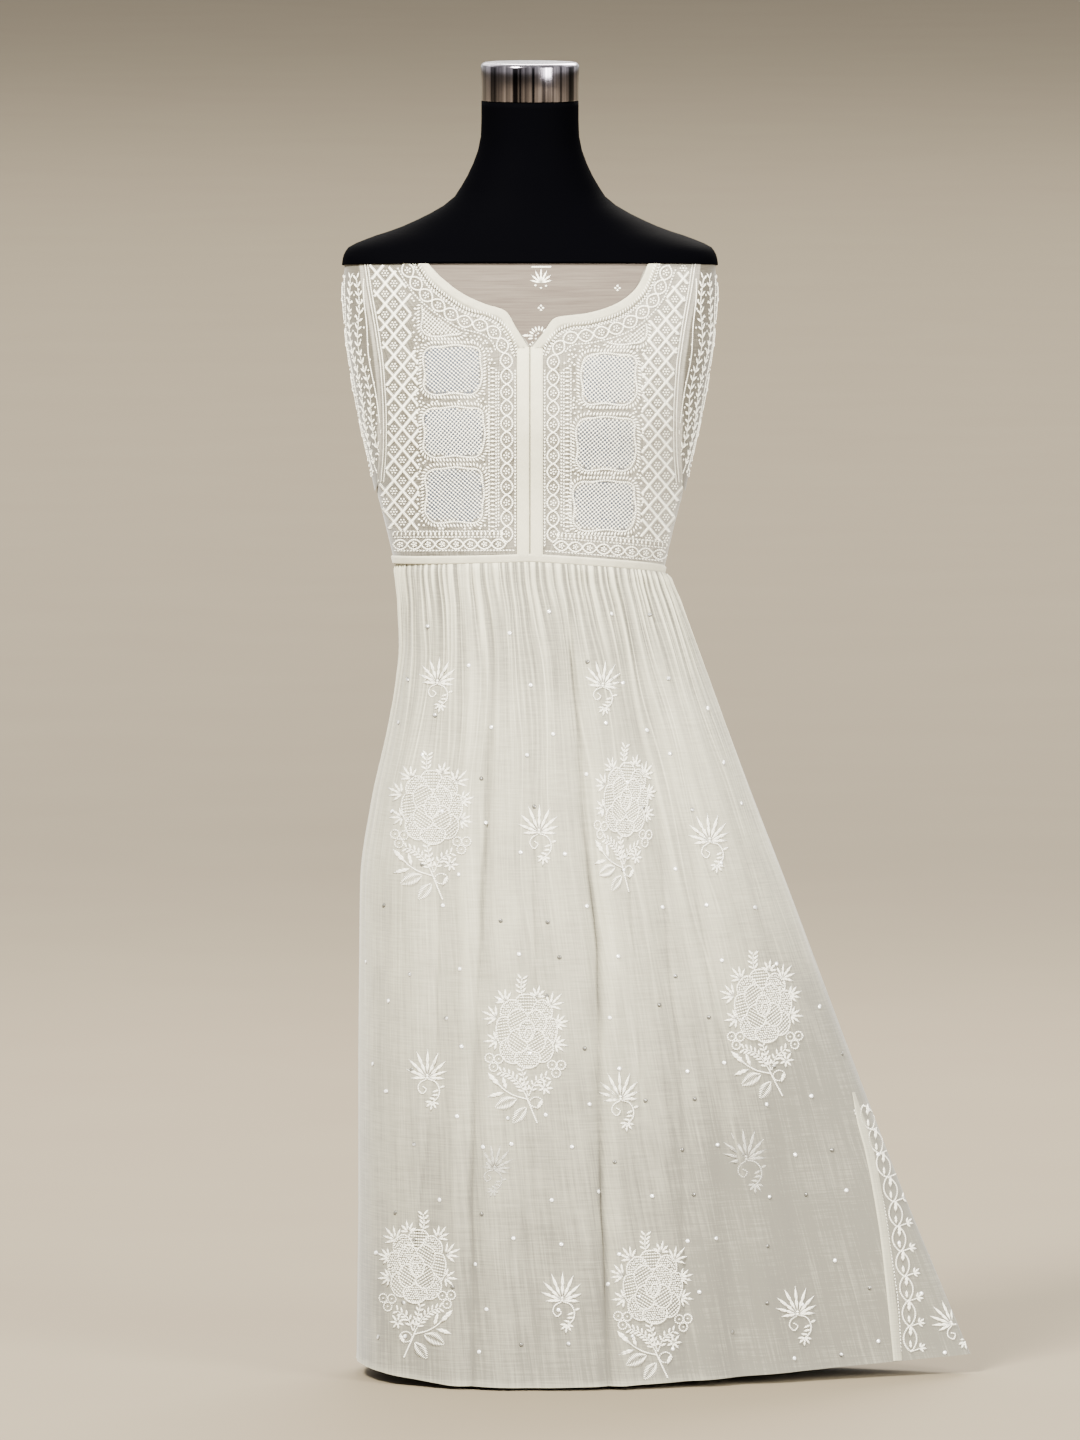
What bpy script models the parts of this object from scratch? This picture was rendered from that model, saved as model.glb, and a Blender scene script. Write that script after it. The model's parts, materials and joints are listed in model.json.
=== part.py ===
"""Chikankari kurta worn on a limbless dress form.

Millimetres throughout, turned into metres where a mesh is made. The front faces -Y, +X is to the
viewer's right, the floor is z = 0 and the form's pole stands on the origin.
"""
import math

import bmesh
import bpy
import numpy as np

for old in list(bpy.data.objects):
    bpy.data.objects.remove(old, do_unlink=True)

MM = 0.001
COLLECTION = "Chikankari_Kurta"

# Cloth and fits
WALL = 1.1
SEAM_GAP = 0.4
UNDER_YOKE = 0.55
YOKE_TOP = UNDER_YOKE + WALL
TRIM_LOW = YOKE_TOP + 0.7
TRIM_HIGH = TRIM_LOW + 1.0
CAP_LOW = YOKE_TOP + 0.95

# Sizes of the pieces
BINDING_WIDTH = 12.0
PLACKET_WIDTH = 12.5
WAIST_BAND_HEIGHT = 8.0
SLEEVE_PUFF = 2.2
FRONT_GATHERS = 70
BACK_GATHERS = 56
GATHER_DEPTH = 2.0
SKIRT_WALL = 1.45
SEAM_BAND_WIDTH = 9.0
NECK_CAP_RADIUS = 49.0
NECK_CAP_HEIGHT = 38.0
POLE_RADIUS = 12.5
BASE_RADIUS = 122.0
BASE_THICK = 7.0
TORSO_BOTTOM = 566.0

# Heights in the tables are those seen by an eye that looks down by this much
LOOK_DOWN = math.radians(4.5)

# Outside of the dressed form: height, half width, chest depth, back depth, squareness
BODY = np.array([
    (1276, 48.5, 48.5, 48.5, 2.0),
    (1248, 48.5, 48.5, 48.5, 2.0),
    (1228, 51.5, 50.0, 50.0, 2.0),
    (1208, 59.0, 54.0, 54.0, 2.0),
    (1188, 70.0, 58.0, 60.0, 2.0),
    (1178, 77.0, 61.0, 64.0, 2.0),
    (1168, 91.0, 64.0, 69.0, 2.05),
    (1158, 110.0, 68.0, 75.0, 2.1),
    (1148, 132.5, 73.0, 81.0, 2.15),
    (1138, 162.0, 79.0, 87.0, 2.2),
    (1128, 182.5, 86.0, 92.0, 2.25),
    (1118, 187.0, 92.0, 96.0, 2.3),
    (1108, 188.0, 97.0, 99.0, 2.3),
    (1084, 187.5, 107.0, 102.0, 2.3),
    (1044, 184.5, 118.0, 103.0, 2.3),
    (1004, 179.0, 124.0, 101.0, 2.25),
    (964, 171.5, 122.0, 97.0, 2.25),
    (924, 162.5, 112.0, 92.0, 2.25),
    (884, 154.0, 102.0, 88.0, 2.25),
    (844, 144.0, 96.0, 85.0, 2.25),
    (814, 137.0, 92.0, 83.0, 2.25),
    (774, 129.0, 89.0, 83.0, 2.2),
    (734, 127.0, 89.0, 87.0, 2.2),
    (694, 129.0, 92.0, 94.0, 2.2),
    (654, 134.0, 97.0, 103.0, 2.2),
    (614, 140.0, 102.0, 109.0, 2.2),
    (574, 142.0, 104.0, 111.0, 2.2),
    (560, 142.0, 104.0, 111.0, 2.2),
])

# How far the bare form lies under that outside: height, depth
CLEARANCE = np.array([
    (560, 2.6),
    (814, 2.6),
    (884, 2.7),
    (964, 3.3),
    (1060, 3.9),
    (1276, 3.9),
])

# Neckline seen from the front, from the top of the slit outwards: x, height
SLIT_FOOT = (0.0, 1023.0)
NECK_RIGHT = np.array([(26, 1054), (60, 1059), (90, 1070), (110, 1089), (118, 1108)], float)
NECK_LEFT = np.array([(-25, 1061), (-60, 1074), (-88, 1094), (-97, 1102), (-102, 1108)], float)
NECK_POINT_HEIGHT = 1154.0
BACK_NECK_HEIGHT = 1118.0
CAP_RIM = 1108.0

# Armhole seam seen from the front, from the underarm upwards: x, height
ARMHOLE = np.array([(152.5, 892), (150, 924), (150, 964), (152.5, 1004), (155, 1024), (158, 1044),
                    (161.5, 1064), (165, 1084), (167, 1098), (168.5, 1108)], float)
UNDERARM_HEIGHT = 880.0
SHOULDER_TIP_HEIGHT = 1136.0
CUFF_HEIGHT = 905.0

# Waist seam: height at the left side, at the centre and at the right side
WAIST_LEFT = 813.0
WAIST_FRONT = 821.0
WAIST_RIGHT = 801.0

# Skirt: height, left edge, right edge, front depth, back depth, where it is deepest
SKIRT = np.array([
    (822, -136, 137, 94.5, 85, 0),
    (804, -134, 139, 95, 85.5, 0),
    (774, -131, 150, 97.5, 89, 0),
    (734, -130, 165, 103, 99, 0),
    (694, -134, 180, 109, 106, 0),
    (654, -141, 195, 117, 114, 2),
    (574, -159, 225, 131, 127, 5),
    (494, -170, 256, 142, 137, 8),
    (414, -171, 286, 149, 144, 10),
    (294, -172, 331, 158, 152, 12),
    (174, -172, 377, 164, 158, 14),
    (94, -173, 410, 167, 162, 15),
    (2, -174, 448, 170, 165, 15),
])
SKIRT_ROWS = (0.0, 0.04, 0.10, 0.175, 0.27, 0.40, 0.54, 0.69, 0.85, 1.0)
GATHER_ROWS = 3

# Hem height across the front and back: x, height
HEM_FRONT = np.array([(-176, 15), (-130, 9), (-80, 4), (0, 3), (80, 4), (200, 8), (320, 13), (445, 19)],
                     float)
HEM_BACK = np.array([(-176, 15), (-80, 12), (0, 12), (200, 14), (445, 19)], float)

# Soft folds of the front: half width, depth, side of the ridge, then x at seven heights
FOLD_HEIGHTS = (760, 680, 560, 440, 320, 180, 10)
FRONT_FOLDS = (
    ("left", 8, 5.0, -1, (-45, -45, -44, -48, -55, -59, -60)),
    ("main", 8, 7.0, 1, (40, 47, 58, 68, 70, 72, 80)),
    ("right", 14, 5.0, 1, (92, 108, 128, 137, 150, 155, 158)),
    ("wing", 18, 6.0, 1, (110, 128, 152, 166, 178, 196, 214)),
    ("edge", 15, 4.0, -1, (-98, -97, -94, -92, -95, -102, -118)),
    ("centre", 14, 3.5, -1, (2, 3, 4, 6, 4, 2, 0)),
)
BACK_FOLDS = (
    ("left", 14, 6.0, 1, (-80, -82, -88, -94, -98, -100, -104)),
    ("centre", 12, 7.0, -1, (-8, -6, -4, -2, 0, 6, 8)),
    ("right", 14, 6.5, 1, (66, 74, 88, 100, 108, 116, 122)),
    ("wing", 18, 5.5, -1, (104, 122, 150, 172, 190, 212, 232)),
)


# Curves through the tables


def through(table, column):
    """A smooth curve through one column of a table, with no overshoot between its rows."""
    rows = table[np.argsort(table[:, 0])]
    h = rows[:, 0]
    v = rows[:, column]
    steep = np.diff(v) / np.diff(h)
    slope = np.zeros(len(h))
    slope[0] = steep[0]
    slope[-1] = steep[-1]
    for i in range(1, len(h) - 1):
        if steep[i - 1] * steep[i] > 0:
            w1 = 2 * (h[i + 1] - h[i]) + (h[i] - h[i - 1])
            w2 = (h[i + 1] - h[i]) + 2 * (h[i] - h[i - 1])
            slope[i] = (w1 + w2) / (w1 / steep[i - 1] + w2 / steep[i])

    def at(x):
        x = np.clip(np.asarray(x, float), h[0], h[-1])
        i = np.clip(np.searchsorted(h, x) - 1, 0, len(h) - 2)
        step = h[i + 1] - h[i]
        t = (x - h[i]) / step
        return (v[i] * (1 + 2 * t) * (1 - t) ** 2 + slope[i] * step * t * (1 - t) ** 2
                + v[i + 1] * t * t * (3 - 2 * t) + slope[i + 1] * step * t * t * (t - 1))

    return at


HALF = through(BODY, 1)
CHEST = through(BODY, 2)
BACK = through(BODY, 3)
SQUARE = through(BODY, 4)
DEPTH = through(CLEARANCE, 1)


def outside(turn, height):
    """Point of the dressed outside. Turn is in degrees: 0 front, 90 right side, 180 back.

    Like the turn of an ellipse, it puts more points where the sides are sharply rounded.
    """
    a = np.radians(turn)
    half = HALF(height)
    depth = np.where(np.cos(a) > 0, CHEST(height), BACK(height))
    n = SQUARE(height)
    s = half * np.sin(a)
    c = depth * np.cos(a)
    far = np.hypot(s, c)
    s = s / far
    c = c / far
    r = (np.abs(s / half) ** n + np.abs(c / depth) ** n) ** (-1.0 / n)
    return np.stack([r * s, -r * c, np.asarray(height, float) + 0 * r], axis=-1)


def on_form(turn, height, lift):
    """Point this far off the bare form, square to its surface."""
    turn = np.asarray(turn, float)
    height = np.asarray(height, float)
    here = outside(turn, height)
    round_it = outside(turn + 0.4, height) - outside(turn - 0.4, height)
    up_it = outside(turn, height + 0.6) - outside(turn, height - 0.6)
    normal = np.cross(round_it, up_it)
    normal /= np.linalg.norm(normal, axis=-1, keepdims=True)
    move = np.asarray(lift, float) - DEPTH(height)
    return here + normal * np.asarray(move)[..., None]


def seen(x, height):
    """Turn and true height of a front point given by its x and by the height it is seen at."""
    turns = np.linspace(-90, 90, 361)
    z = float(height)
    for _ in range(6):
        line = outside(turns, np.full(361, z))
        turn = float(np.interp(x, line[:, 0], turns))
        y = float(outside(turn, z)[1])
        z = (height - y * math.sin(LOOK_DOWN)) / math.cos(LOOK_DOWN)
    return turn, z


def rounded(points, count):
    """The same path with an even count of points, curved through the given ones."""
    p = np.asarray(points, float)
    length = np.concatenate([[0], np.cumsum(np.linalg.norm(np.diff(p, axis=0), axis=1))])
    want = np.linspace(0, length[-1], count)
    cols = []
    for k in range(p.shape[1]):
        tab = np.column_stack([length, p[:, k]])
        cols.append(through(tab, 1)(want))
    return np.column_stack(cols)


def beside(path, width):
    """A path of turn and height moved sideways by a width in millimetres, to the right of its run."""
    p = np.asarray(path, float)
    turn = p[:, 0]
    height = p[:, 1]
    per_turn = np.linalg.norm(outside(turn + 0.5, height) - outside(turn - 0.5, height), axis=1)
    per_height = np.linalg.norm(outside(turn, height + 0.5) - outside(turn, height - 0.5), axis=1)
    scale = np.column_stack([per_turn, per_height])
    ahead = np.diff(p, axis=0) * (scale[1:] + scale[:-1]) / 2
    ahead /= np.linalg.norm(ahead, axis=1, keepdims=True)
    side = np.column_stack([ahead[:, 1], -ahead[:, 0]])
    move = np.zeros_like(p)
    move[0] = side[0] * width
    move[-1] = side[-1] * width
    for i in range(1, len(p) - 1):
        mid = side[i - 1] + side[i]
        mid /= np.linalg.norm(mid)
        move[i] = mid * width / max(0.6, float(mid @ side[i]))
    return p + move / scale


# Meshes


def material(name, colour, rough, metal=0.0):
    mat = bpy.data.materials.new(name)
    mat.use_nodes = True
    shader = mat.node_tree.nodes["Principled BSDF"]
    shader.inputs["Base Color"].default_value = (*colour, 1)
    shader.inputs["Roughness"].default_value = rough
    shader.inputs["Metallic"].default_value = metal
    mat.diffuse_color = (*colour, 1)
    return mat


collection = bpy.data.collections.new(COLLECTION)
bpy.context.scene.collection.children.link(collection)


def solid(name, verts, faces, mat):
    mesh = bpy.data.meshes.new(name)
    mesh.from_pydata([tuple(float(c) * MM for c in v) for v in verts], [], faces)
    bm = bmesh.new()
    bm.from_mesh(mesh)
    bmesh.ops.recalc_face_normals(bm, faces=bm.faces[:])
    bmesh.ops.triangulate(bm, faces=bm.faces[:])
    if bm.calc_volume(signed=True) < 0:
        bmesh.ops.reverse_faces(bm, faces=bm.faces[:])
    bm.to_mesh(mesh)
    bm.free()
    mesh.materials.append(mat)
    obj = bpy.data.objects.new(name, mesh)
    collection.objects.link(obj)
    return obj


def cloth_wall(name, low, high, faces, mat):
    """A closed wall between two sheets that share one set of faces."""
    count = len(low)
    verts = list(low) + list(high)
    walls = [tuple(reversed(f)) for f in faces]
    walls += [tuple(i + count for i in f) for f in faces]
    edges = {}
    for f in faces:
        for i, a in enumerate(f):
            b = f[(i + 1) % len(f)]
            key = (min(a, b), max(a, b))
            edges[key] = None if key in edges else (a, b)
    for pair in edges.values():
        if pair is not None:
            a, b = pair
            walls.append((a, b, b + count, a + count))
    return solid(name, verts, walls, mat)


def ruled(one, two, columns):
    """Turn and height grid between two edges that have the same count of points."""
    t = np.linspace(0, 1, columns + 1)[None, :, None]
    return one[:, None, :] * (1 - t) + two[:, None, :] * t


def grid_faces(rows, columns):
    out = []
    for i in range(rows - 1):
        for j in range(columns - 1):
            a = i * columns + j
            out.append((a, a + 1, a + columns + 1, a + columns))
    return out


def on_form_piece(name, grid, low, high, mat):
    """A cloth piece laid on the form from a grid of turn and height."""
    rows, columns = grid.shape[:2]
    turn = grid[..., 0]
    height = grid[..., 1]
    inner = on_form(turn, height, low).reshape(-1, 3)
    outer = on_form(turn, height, high).reshape(-1, 3)
    return cloth_wall(name, inner, outer, grid_faces(rows, columns), mat)


CLOTH = material("Kurta_Muslin", (0.76, 0.73, 0.66), 0.8)
TRIM = material("Kurta_Trim", (0.83, 0.80, 0.72), 0.75)
INSET = material("Neck_Inset_Muslin", (0.52, 0.46, 0.41), 0.85)
LINEN = material("Form_Linen", (0.62, 0.56, 0.48), 0.85)
BLACK = material("Form_Black", (0.008, 0.008, 0.010), 0.45)
CHROME = material("Neck_Cap_Chrome", (0.80, 0.80, 0.84), 0.12, 1.0)
STEEL = material("Stand_Steel", (0.42, 0.42, 0.44), 0.35, 1.0)


# Edges of the pieces, each as points of turn and height from the waist upwards


def waist(turn):
    """Height of the waist seam all round."""
    t = np.asarray(turn, float)
    to_side = np.clip(np.abs(t) / 90, 0, 1)
    front = np.where(t < 0, WAIST_FRONT + (WAIST_LEFT - WAIST_FRONT) * to_side,
                     WAIST_FRONT + (WAIST_RIGHT - WAIST_FRONT) * to_side ** 1.2)
    round_back = WAIST_RIGHT + (WAIST_LEFT - WAIST_RIGHT) * (t - 90) / 180
    return np.where(np.abs(t) <= 90, front, round_back)


def neck_edge(side, table):
    """Placket centre, slit and neckline of one front, up to the neck point on the shoulder."""
    gap = 0.35 * side
    foot = seen(gap, SLIT_FOOT[1])
    low = seen(gap, 829)
    up = [(low[0] + (foot[0] - low[0]) * k / 9, float(waist(side * 0.1)) * (1 - k / 9) + foot[1] * k / 9)
          for k in range(9)]
    slit = [seen(gap + (table[0, 0] - gap) * t, SLIT_FOOT[1] + (table[0, 1] - SLIT_FOOT[1]) * t)
            for t in (0.0, 0.5)]
    curve = [seen(x, h) for x, h in rounded(table, 5)]
    last = curve[-1]
    over = [(last[0] + (90 * side - last[0]) * t, last[1] + (NECK_POINT_HEIGHT - last[1]) * t ** 0.8)
            for t in (0.35, 0.7, 1.0)]
    return np.array(up + slit + curve + over)


def arm_edge(side):
    """Side seam, front of the armhole and shoulder tip of one front."""
    foot = float(waist(90 * side))
    up = [(90 * side, z) for z in np.linspace(foot, UNDERARM_HEIGHT, 4)]
    table = ARMHOLE * np.array([side, 1])
    curve = [seen(x, h) for x, h in rounded(table, 11)]
    last = curve[-1]
    rise = SHOULDER_TIP_HEIGHT - last[1]
    over = [(last[0] + (90 * side - last[0]) * t, last[1] + rise * math.sin(t * math.pi / 2))
            for t in (0.25, 0.5, 0.75, 1.0)]
    return np.array(up + curve + over)


neck_right = neck_edge(1, NECK_RIGHT)
neck_left = neck_edge(-1, NECK_LEFT)
arm_right = arm_edge(1)
arm_left = arm_edge(-1)
SLIT_ROW = 9
SIDE_ROWS = 4


def drawn_in(edge, side):
    """The edge with its side seam and its shoulder end drawn in from the other panel's by a hair."""
    out = edge.copy()
    seam = np.abs(np.abs(edge[:, 0]) - 90) < 0.01
    out[seam, 0] -= 0.16 * side
    return out


# Yoke fronts: two panels that meet at the placket, each from neckline to armhole
PANEL_COLUMNS = 11
on_form_piece("yoke_front_right", ruled(drawn_in(neck_right, 1), drawn_in(arm_right, 1), PANEL_COLUMNS),
              UNDER_YOKE, YOKE_TOP, CLOTH)
on_form_piece("yoke_front_left", ruled(drawn_in(neck_left, -1), drawn_in(arm_left, -1), PANEL_COLUMNS),
              UNDER_YOKE, YOKE_TOP, CLOTH)


# Yoke back: one panel, its neck a shallow scoop between the two shoulder seams
def back_half(side):
    """Grid of one half of the back, from the middle to the side."""
    rows = len(arm_right)
    up = [(180.0, z) for z in np.linspace(float(waist(180)), BACK_NECK_HEIGHT, rows - 5)]
    over = [(180 - side * 90 * t, BACK_NECK_HEIGHT + (NECK_POINT_HEIGHT - BACK_NECK_HEIGHT) * t ** 2.2)
            for t in (0.2, 0.4, 0.6, 0.8, 1.0)]
    middle = np.array(up + over)
    arm = arm_right if side > 0 else arm_left
    outer = arm.copy()
    outer[:, 0] = 180 - arm[:, 0]
    seam = np.abs(np.abs(arm[:, 0]) - 90) < 0.01
    outer[seam, 0] += 0.16 * side
    middle[-1, 0] += 0.16 * side
    return ruled(middle, outer, 10)


spots = []
known = {}


def back_vertex(spot):
    key = (round(float(spot[0]), 4), round(float(spot[1]), 4))
    if key not in known:
        known[key] = len(spots)
        spots.append(key)
    return known[key]


back_faces = []
for grid in (back_half(1), back_half(-1)[:, ::-1]):
    for i in range(grid.shape[0] - 1):
        for j in range(grid.shape[1] - 1):
            corners = (grid[i, j], grid[i, j + 1], grid[i + 1, j + 1], grid[i + 1, j])
            back_faces.append(tuple(back_vertex(c) for c in corners))
spots = np.array(spots)
cloth_wall("yoke_back", on_form(spots[:, 0], spots[:, 1], UNDER_YOKE),
           on_form(spots[:, 0], spots[:, 1], YOKE_TOP), back_faces, CLOTH)

# Neck binding: a strip along the slit and neckline of each front, up to the cap's rim
for side, label, neck in ((1, "right", neck_right), (-1, "left", neck_left)):
    path = np.vstack([neck[SLIT_ROW:SLIT_ROW + 2], rounded(neck[SLIT_ROW + 2:-3], 7)])
    path[0, 0] += 0.2 * side
    outer = beside(path, BINDING_WIDTH * side)
    outer[0] = seen((PLACKET_WIDTH + 0.5) * side, SLIT_FOOT[1])
    path[-1] = seen(np.sign(side) * abs(outside(path[-1, 0], path[-1, 1])[0]), CAP_RIM - 1.2)
    edge_x = float(outside(outer[-1, 0], outer[-1, 1])[0])
    outer[-1] = seen(edge_x + 2.5 * side, CAP_RIM - 1.2)
    on_form_piece("neck_binding_" + label, ruled(path, outer, 1), TRIM_LOW, TRIM_HIGH, TRIM)

# Placket: two bands on the front edges, from the slit down to the waist band
for side, label in ((1, "right"), (-1, "left")):
    foot = seen(0.55 * side, SLIT_FOOT[1])
    heights = np.linspace(float(waist(0.1 * side)) + WAIST_BAND_HEIGHT + SEAM_GAP, foot[1] - SEAM_GAP, 11)
    across = np.linspace(-20, 20, 81)
    turns = []
    for z in heights:
        line = outside(across, np.full(81, z))[:, 0]
        turns.append([np.interp(x * side, line, across) for x in (0.55, 0.5 + PLACKET_WIDTH)])
    turns = np.array(turns)
    grid = ruled(np.column_stack([turns[:, 0], heights]), np.column_stack([turns[:, 1], heights]), 1)
    on_form_piece("placket_" + label, grid, TRIM_LOW, TRIM_HIGH, TRIM)

# Waist band: a strip over the foot of the yoke, front and back
for label, start, stop, count in (("front", -89.84, 89.84, 33), ("back", 90.16, 269.84, 29)):
    turns = np.linspace(start, stop, count)
    low = np.column_stack([turns, waist(turns)])
    high = np.column_stack([turns, waist(turns) + WAIST_BAND_HEIGHT])
    on_form_piece("waist_band_" + label, ruled(low, high, 1), TRIM_LOW, TRIM_HIGH, TRIM)


def rim_height(turn):
    """The form's cap is cut square to the eye, so its rim is a straight line from the front."""
    z = np.full(np.shape(turn), CAP_RIM)
    for _ in range(5):
        y = outside(turn, z)[..., 1]
        z = (CAP_RIM - y * math.sin(LOOK_DOWN)) / math.cos(LOOK_DOWN)
    return z


# Cap sleeves: a puffed piece in each armhole, open at the cuff
def sleeve(name, arm, side):
    upper = arm[SIDE_ROWS:]
    inset = beside(upper, (SEAM_GAP + 0.1) * side)
    front = inset[arm[SIDE_ROWS:, 1] > CUFF_HEIGHT]
    front[-1] = (front[-1] + front[-2]) / 2
    back = front.copy()
    back[:, 0] = 180 * side - front[:, 0]
    grid = ruled(front, back, 8)
    across = np.sin(np.linspace(0, 1, 9) * np.pi)[None, :] ** 0.7
    below = np.clip((rim_height(grid[..., 0]) - 4 - grid[..., 1]) / 20, 0, 1)
    puff = SLEEVE_PUFF * across * below * below * (3 - 2 * below)
    inner = on_form(grid[..., 0], grid[..., 1], UNDER_YOKE + puff).reshape(-1, 3)
    outer = on_form(grid[..., 0], grid[..., 1], UNDER_YOKE + WALL + puff).reshape(-1, 3)
    return cloth_wall(name, inner, outer, grid_faces(len(front), 9), CLOTH)


sleeve("sleeve_right", arm_right, 1)
sleeve("sleeve_left", arm_left, -1)

# Neck inset: the same muslin filling the neck opening, its straight top under the cap's rim
left_in = beside(neck_left[SLIT_ROW:-1], SEAM_GAP + 0.2)[1:-1]
right_in = beside(neck_right[SLIT_ROW:-1], -(SEAM_GAP + 0.2))[1:-1]
on_form_piece("neck_inset", ruled(left_in, right_in, 12), 0.4, 1.4, INSET)


# Skirt: a gathered tube whose right side flares out to a corner
SK = [through(SKIRT, k) for k in range(1, 6)]


def ring(height, front, dense=361):
    """Half of the skirt's ring at a height, from its left end to its right end."""
    left, right, depth_front, depth_back, deepest = (float(f(height)) for f in SK)
    b = depth_front if front else depth_back
    a_left = deepest - left
    a_right = right - deepest
    flare = min(1.0, max(0.0, (a_right - a_left) / 240.0))
    tip = 22.0 * min(1.0, flare * 2.0)
    angle = np.linspace(0, np.pi, dense)
    s = -np.cos(angle)
    x = np.where(s < 0, deepest + s * a_left, deepest + s * a_right)
    u = np.clip(np.abs(s), 0, 1)
    plain = (1 - u ** 2.25) ** (1 / 2.25)
    wing = (0.5 + 0.5 * np.cos(np.pi * u)) ** 0.8 * (1 - tip / b) + tip / b * np.sqrt(1 - u ** 8)
    y = np.where(s < 0, plain, (1 - flare) * plain + flare * wing) * b
    return np.column_stack([x, -y if front else y])


def along(curve, fractions):
    """Points at even fractions of a curve's length, with the outward normals there."""
    step = np.linalg.norm(np.diff(curve, axis=0), axis=1)
    length = np.concatenate([[0], np.cumsum(step)])
    want = np.asarray(fractions) * length[-1]
    px = np.interp(want, length, curve[:, 0])
    py = np.interp(want, length, curve[:, 1])
    e = 1.0
    ahead_x = np.interp(np.clip(want + e, 0, length[-1]), length, curve[:, 0])
    ahead_y = np.interp(np.clip(want + e, 0, length[-1]), length, curve[:, 1])
    back_x = np.interp(np.clip(want - e, 0, length[-1]), length, curve[:, 0])
    back_y = np.interp(np.clip(want - e, 0, length[-1]), length, curve[:, 1])
    tx = ahead_x - back_x
    ty = ahead_y - back_y
    size = np.hypot(tx, ty)
    return np.column_stack([px, py]), np.column_stack([ty / size, -tx / size])


def fold_depth(folds, x, height, front_normal):
    """How far the soft folds move the skirt in or out at these places."""
    total = np.zeros_like(x)
    heights = np.array(FOLD_HEIGHTS, float)[::-1]
    for _, width, depth, ridge, path in folds:
        xc = float(np.interp(height, heights, np.array(path, float)[::-1]))
        away = (x - xc) / width
        valley = np.exp(-away ** 2)
        crest = np.exp(-((away - 1.7 * ridge) / 1.4) ** 2)
        total += depth * (0.75 * crest - valley)
    grow = np.clip((790 - height) / 160, 0, 1)
    return total * grow * np.clip(front_normal, 0, 1)


def skirt_half(name, front, gathers):
    folds = FRONT_FOLDS if front else BACK_FOLDS
    hem = HEM_FRONT if front else HEM_BACK
    fine = 2 * gathers
    inner_all = []
    outer_all = []
    starts = []
    counts = []
    for r, share in enumerate(SKIRT_ROWS):
        step = 1 if r <= GATHER_ROWS else 2
        index = np.arange(0, fine + 1, step)
        frac = 0.0006 + index / fine * (1 - 0.0012)
        flat, _ = along(ring(812, front), frac)
        to_side = flat[:, 0] / HALF(812)
        to_face = np.abs(flat[:, 1]) / (CHEST(812) if front else BACK(812))
        turn = np.degrees(np.arctan2(to_side, to_face))
        if not front:
            turn = 180 - turn
        top = waist(turn) - SEAM_GAP - 0.2
        mid = 812 + (8 - 812) * share
        flat, _ = along(ring(mid, front), frac)
        foot = np.interp(flat[:, 0], hem[:, 0], hem[:, 1])
        z = top + (foot - top) * share
        points = np.zeros((len(index), 3))
        out = np.zeros((len(index), 2))
        for k in range(len(index)):
            spot, nrm = along(ring(float(z[k]), front), [frac[k]])
            points[k] = (spot[0, 0], spot[0, 1], z[k])
            out[k] = nrm[0]
        if not front:
            out = -out
        fade = max(0.0, 1 - share / 0.20)
        zig = np.where(index % 2 == 0, -0.5, 0.5) * GATHER_DEPTH * fade ** 0.7
        uneven = 0.25 * np.sin(index * 0.83) * fade
        ends = np.minimum(index, fine - index)
        zig = zig * np.clip(ends / 3.0, 0, 1)
        facing = -out[:, 1] if front else out[:, 1]
        soft = np.array([fold_depth(folds, points[k:k + 1, 0], float(z[k]), facing[k:k + 1])[0]
                         for k in range(len(index))])
        move = zig + uneven + soft
        shift = np.column_stack([out * move[:, None], np.zeros(len(index))])
        outer = points + shift
        inner = outer - np.column_stack([out * SKIRT_WALL, np.zeros(len(index))])
        starts.append(sum(counts))
        counts.append(len(index))
        outer_all.append(outer)
        inner_all.append(inner)
    faces = []
    for r in range(len(SKIRT_ROWS) - 1):
        a0 = starts[r]
        b0 = starts[r + 1]
        if counts[r] == counts[r + 1]:
            for k in range(counts[r] - 1):
                faces.append((a0 + k, a0 + k + 1, b0 + k + 1, b0 + k))
        else:
            for k in range(counts[r + 1] - 1):
                faces.append((a0 + 2 * k, a0 + 2 * k + 1, a0 + 2 * k + 2, b0 + k + 1, b0 + k))
    return cloth_wall(name, np.vstack(inner_all), np.vstack(outer_all), faces, CLOTH)


skirt_half("skirt_front", True, FRONT_GATHERS)
skirt_half("skirt_back", False, BACK_GATHERS)


# Form: linen torso, black neck and shoulders that drop over it, chrome cap, pole and base
def lofted(name, loops, mat):
    """A closed body through loops of the same count, with a flat end on the first and the last."""
    count = len(loops[0])
    verts = [v for one in loops for v in one]
    faces = []
    for r in range(len(loops) - 1):
        for k in range(count):
            a = r * count + k
            b = r * count + (k + 1) % count
            faces.append((a, b, b + count, a + count))
    faces.append(tuple(reversed(range(count))))
    faces.append(tuple(range((len(loops) - 1) * count, len(loops) * count)))
    return solid(name, verts, faces, mat)


torso_turns = np.arange(36) * 10.0
torso_heights = (1158, 1150, 1142, 1134, 1125, 1114, 1095, 1070, 1044, 1018, 990, 960, 925, 890, 850, 822,
                 800, 740, 660, TORSO_BOTTOM)
torso_loops = []
for h in torso_heights:
    sunk = 1.0 if 830 < h < 1100 else 2.0
    torso_loops.append(on_form(torso_turns, np.full(36, float(h)), -sunk))
lofted("form_torso", torso_loops, LINEN)

cap_turns = np.arange(40) * 9.0
rim = rim_height(cap_turns)
levels = [rim, rim * 0.66 + 1129 * 0.34, rim * 0.33 + 1129 * 0.67]
outer_levels = levels + [np.full(40, float(h)) for h in (1129, 1136, 1143, 1151, 1163, 1180, 1205, 1235, 1275.6)]
inner_levels = levels + [np.full(40, float(h)) for h in (1129, 1136, 1143, 1151, 1163)]
shell = [on_form(cap_turns, level, DEPTH(level)) for level in reversed(outer_levels)]
hollow = [on_form(cap_turns, level, CAP_LOW) for level in inner_levels]
lofted("form_shoulders", shell + hollow, BLACK)


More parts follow.
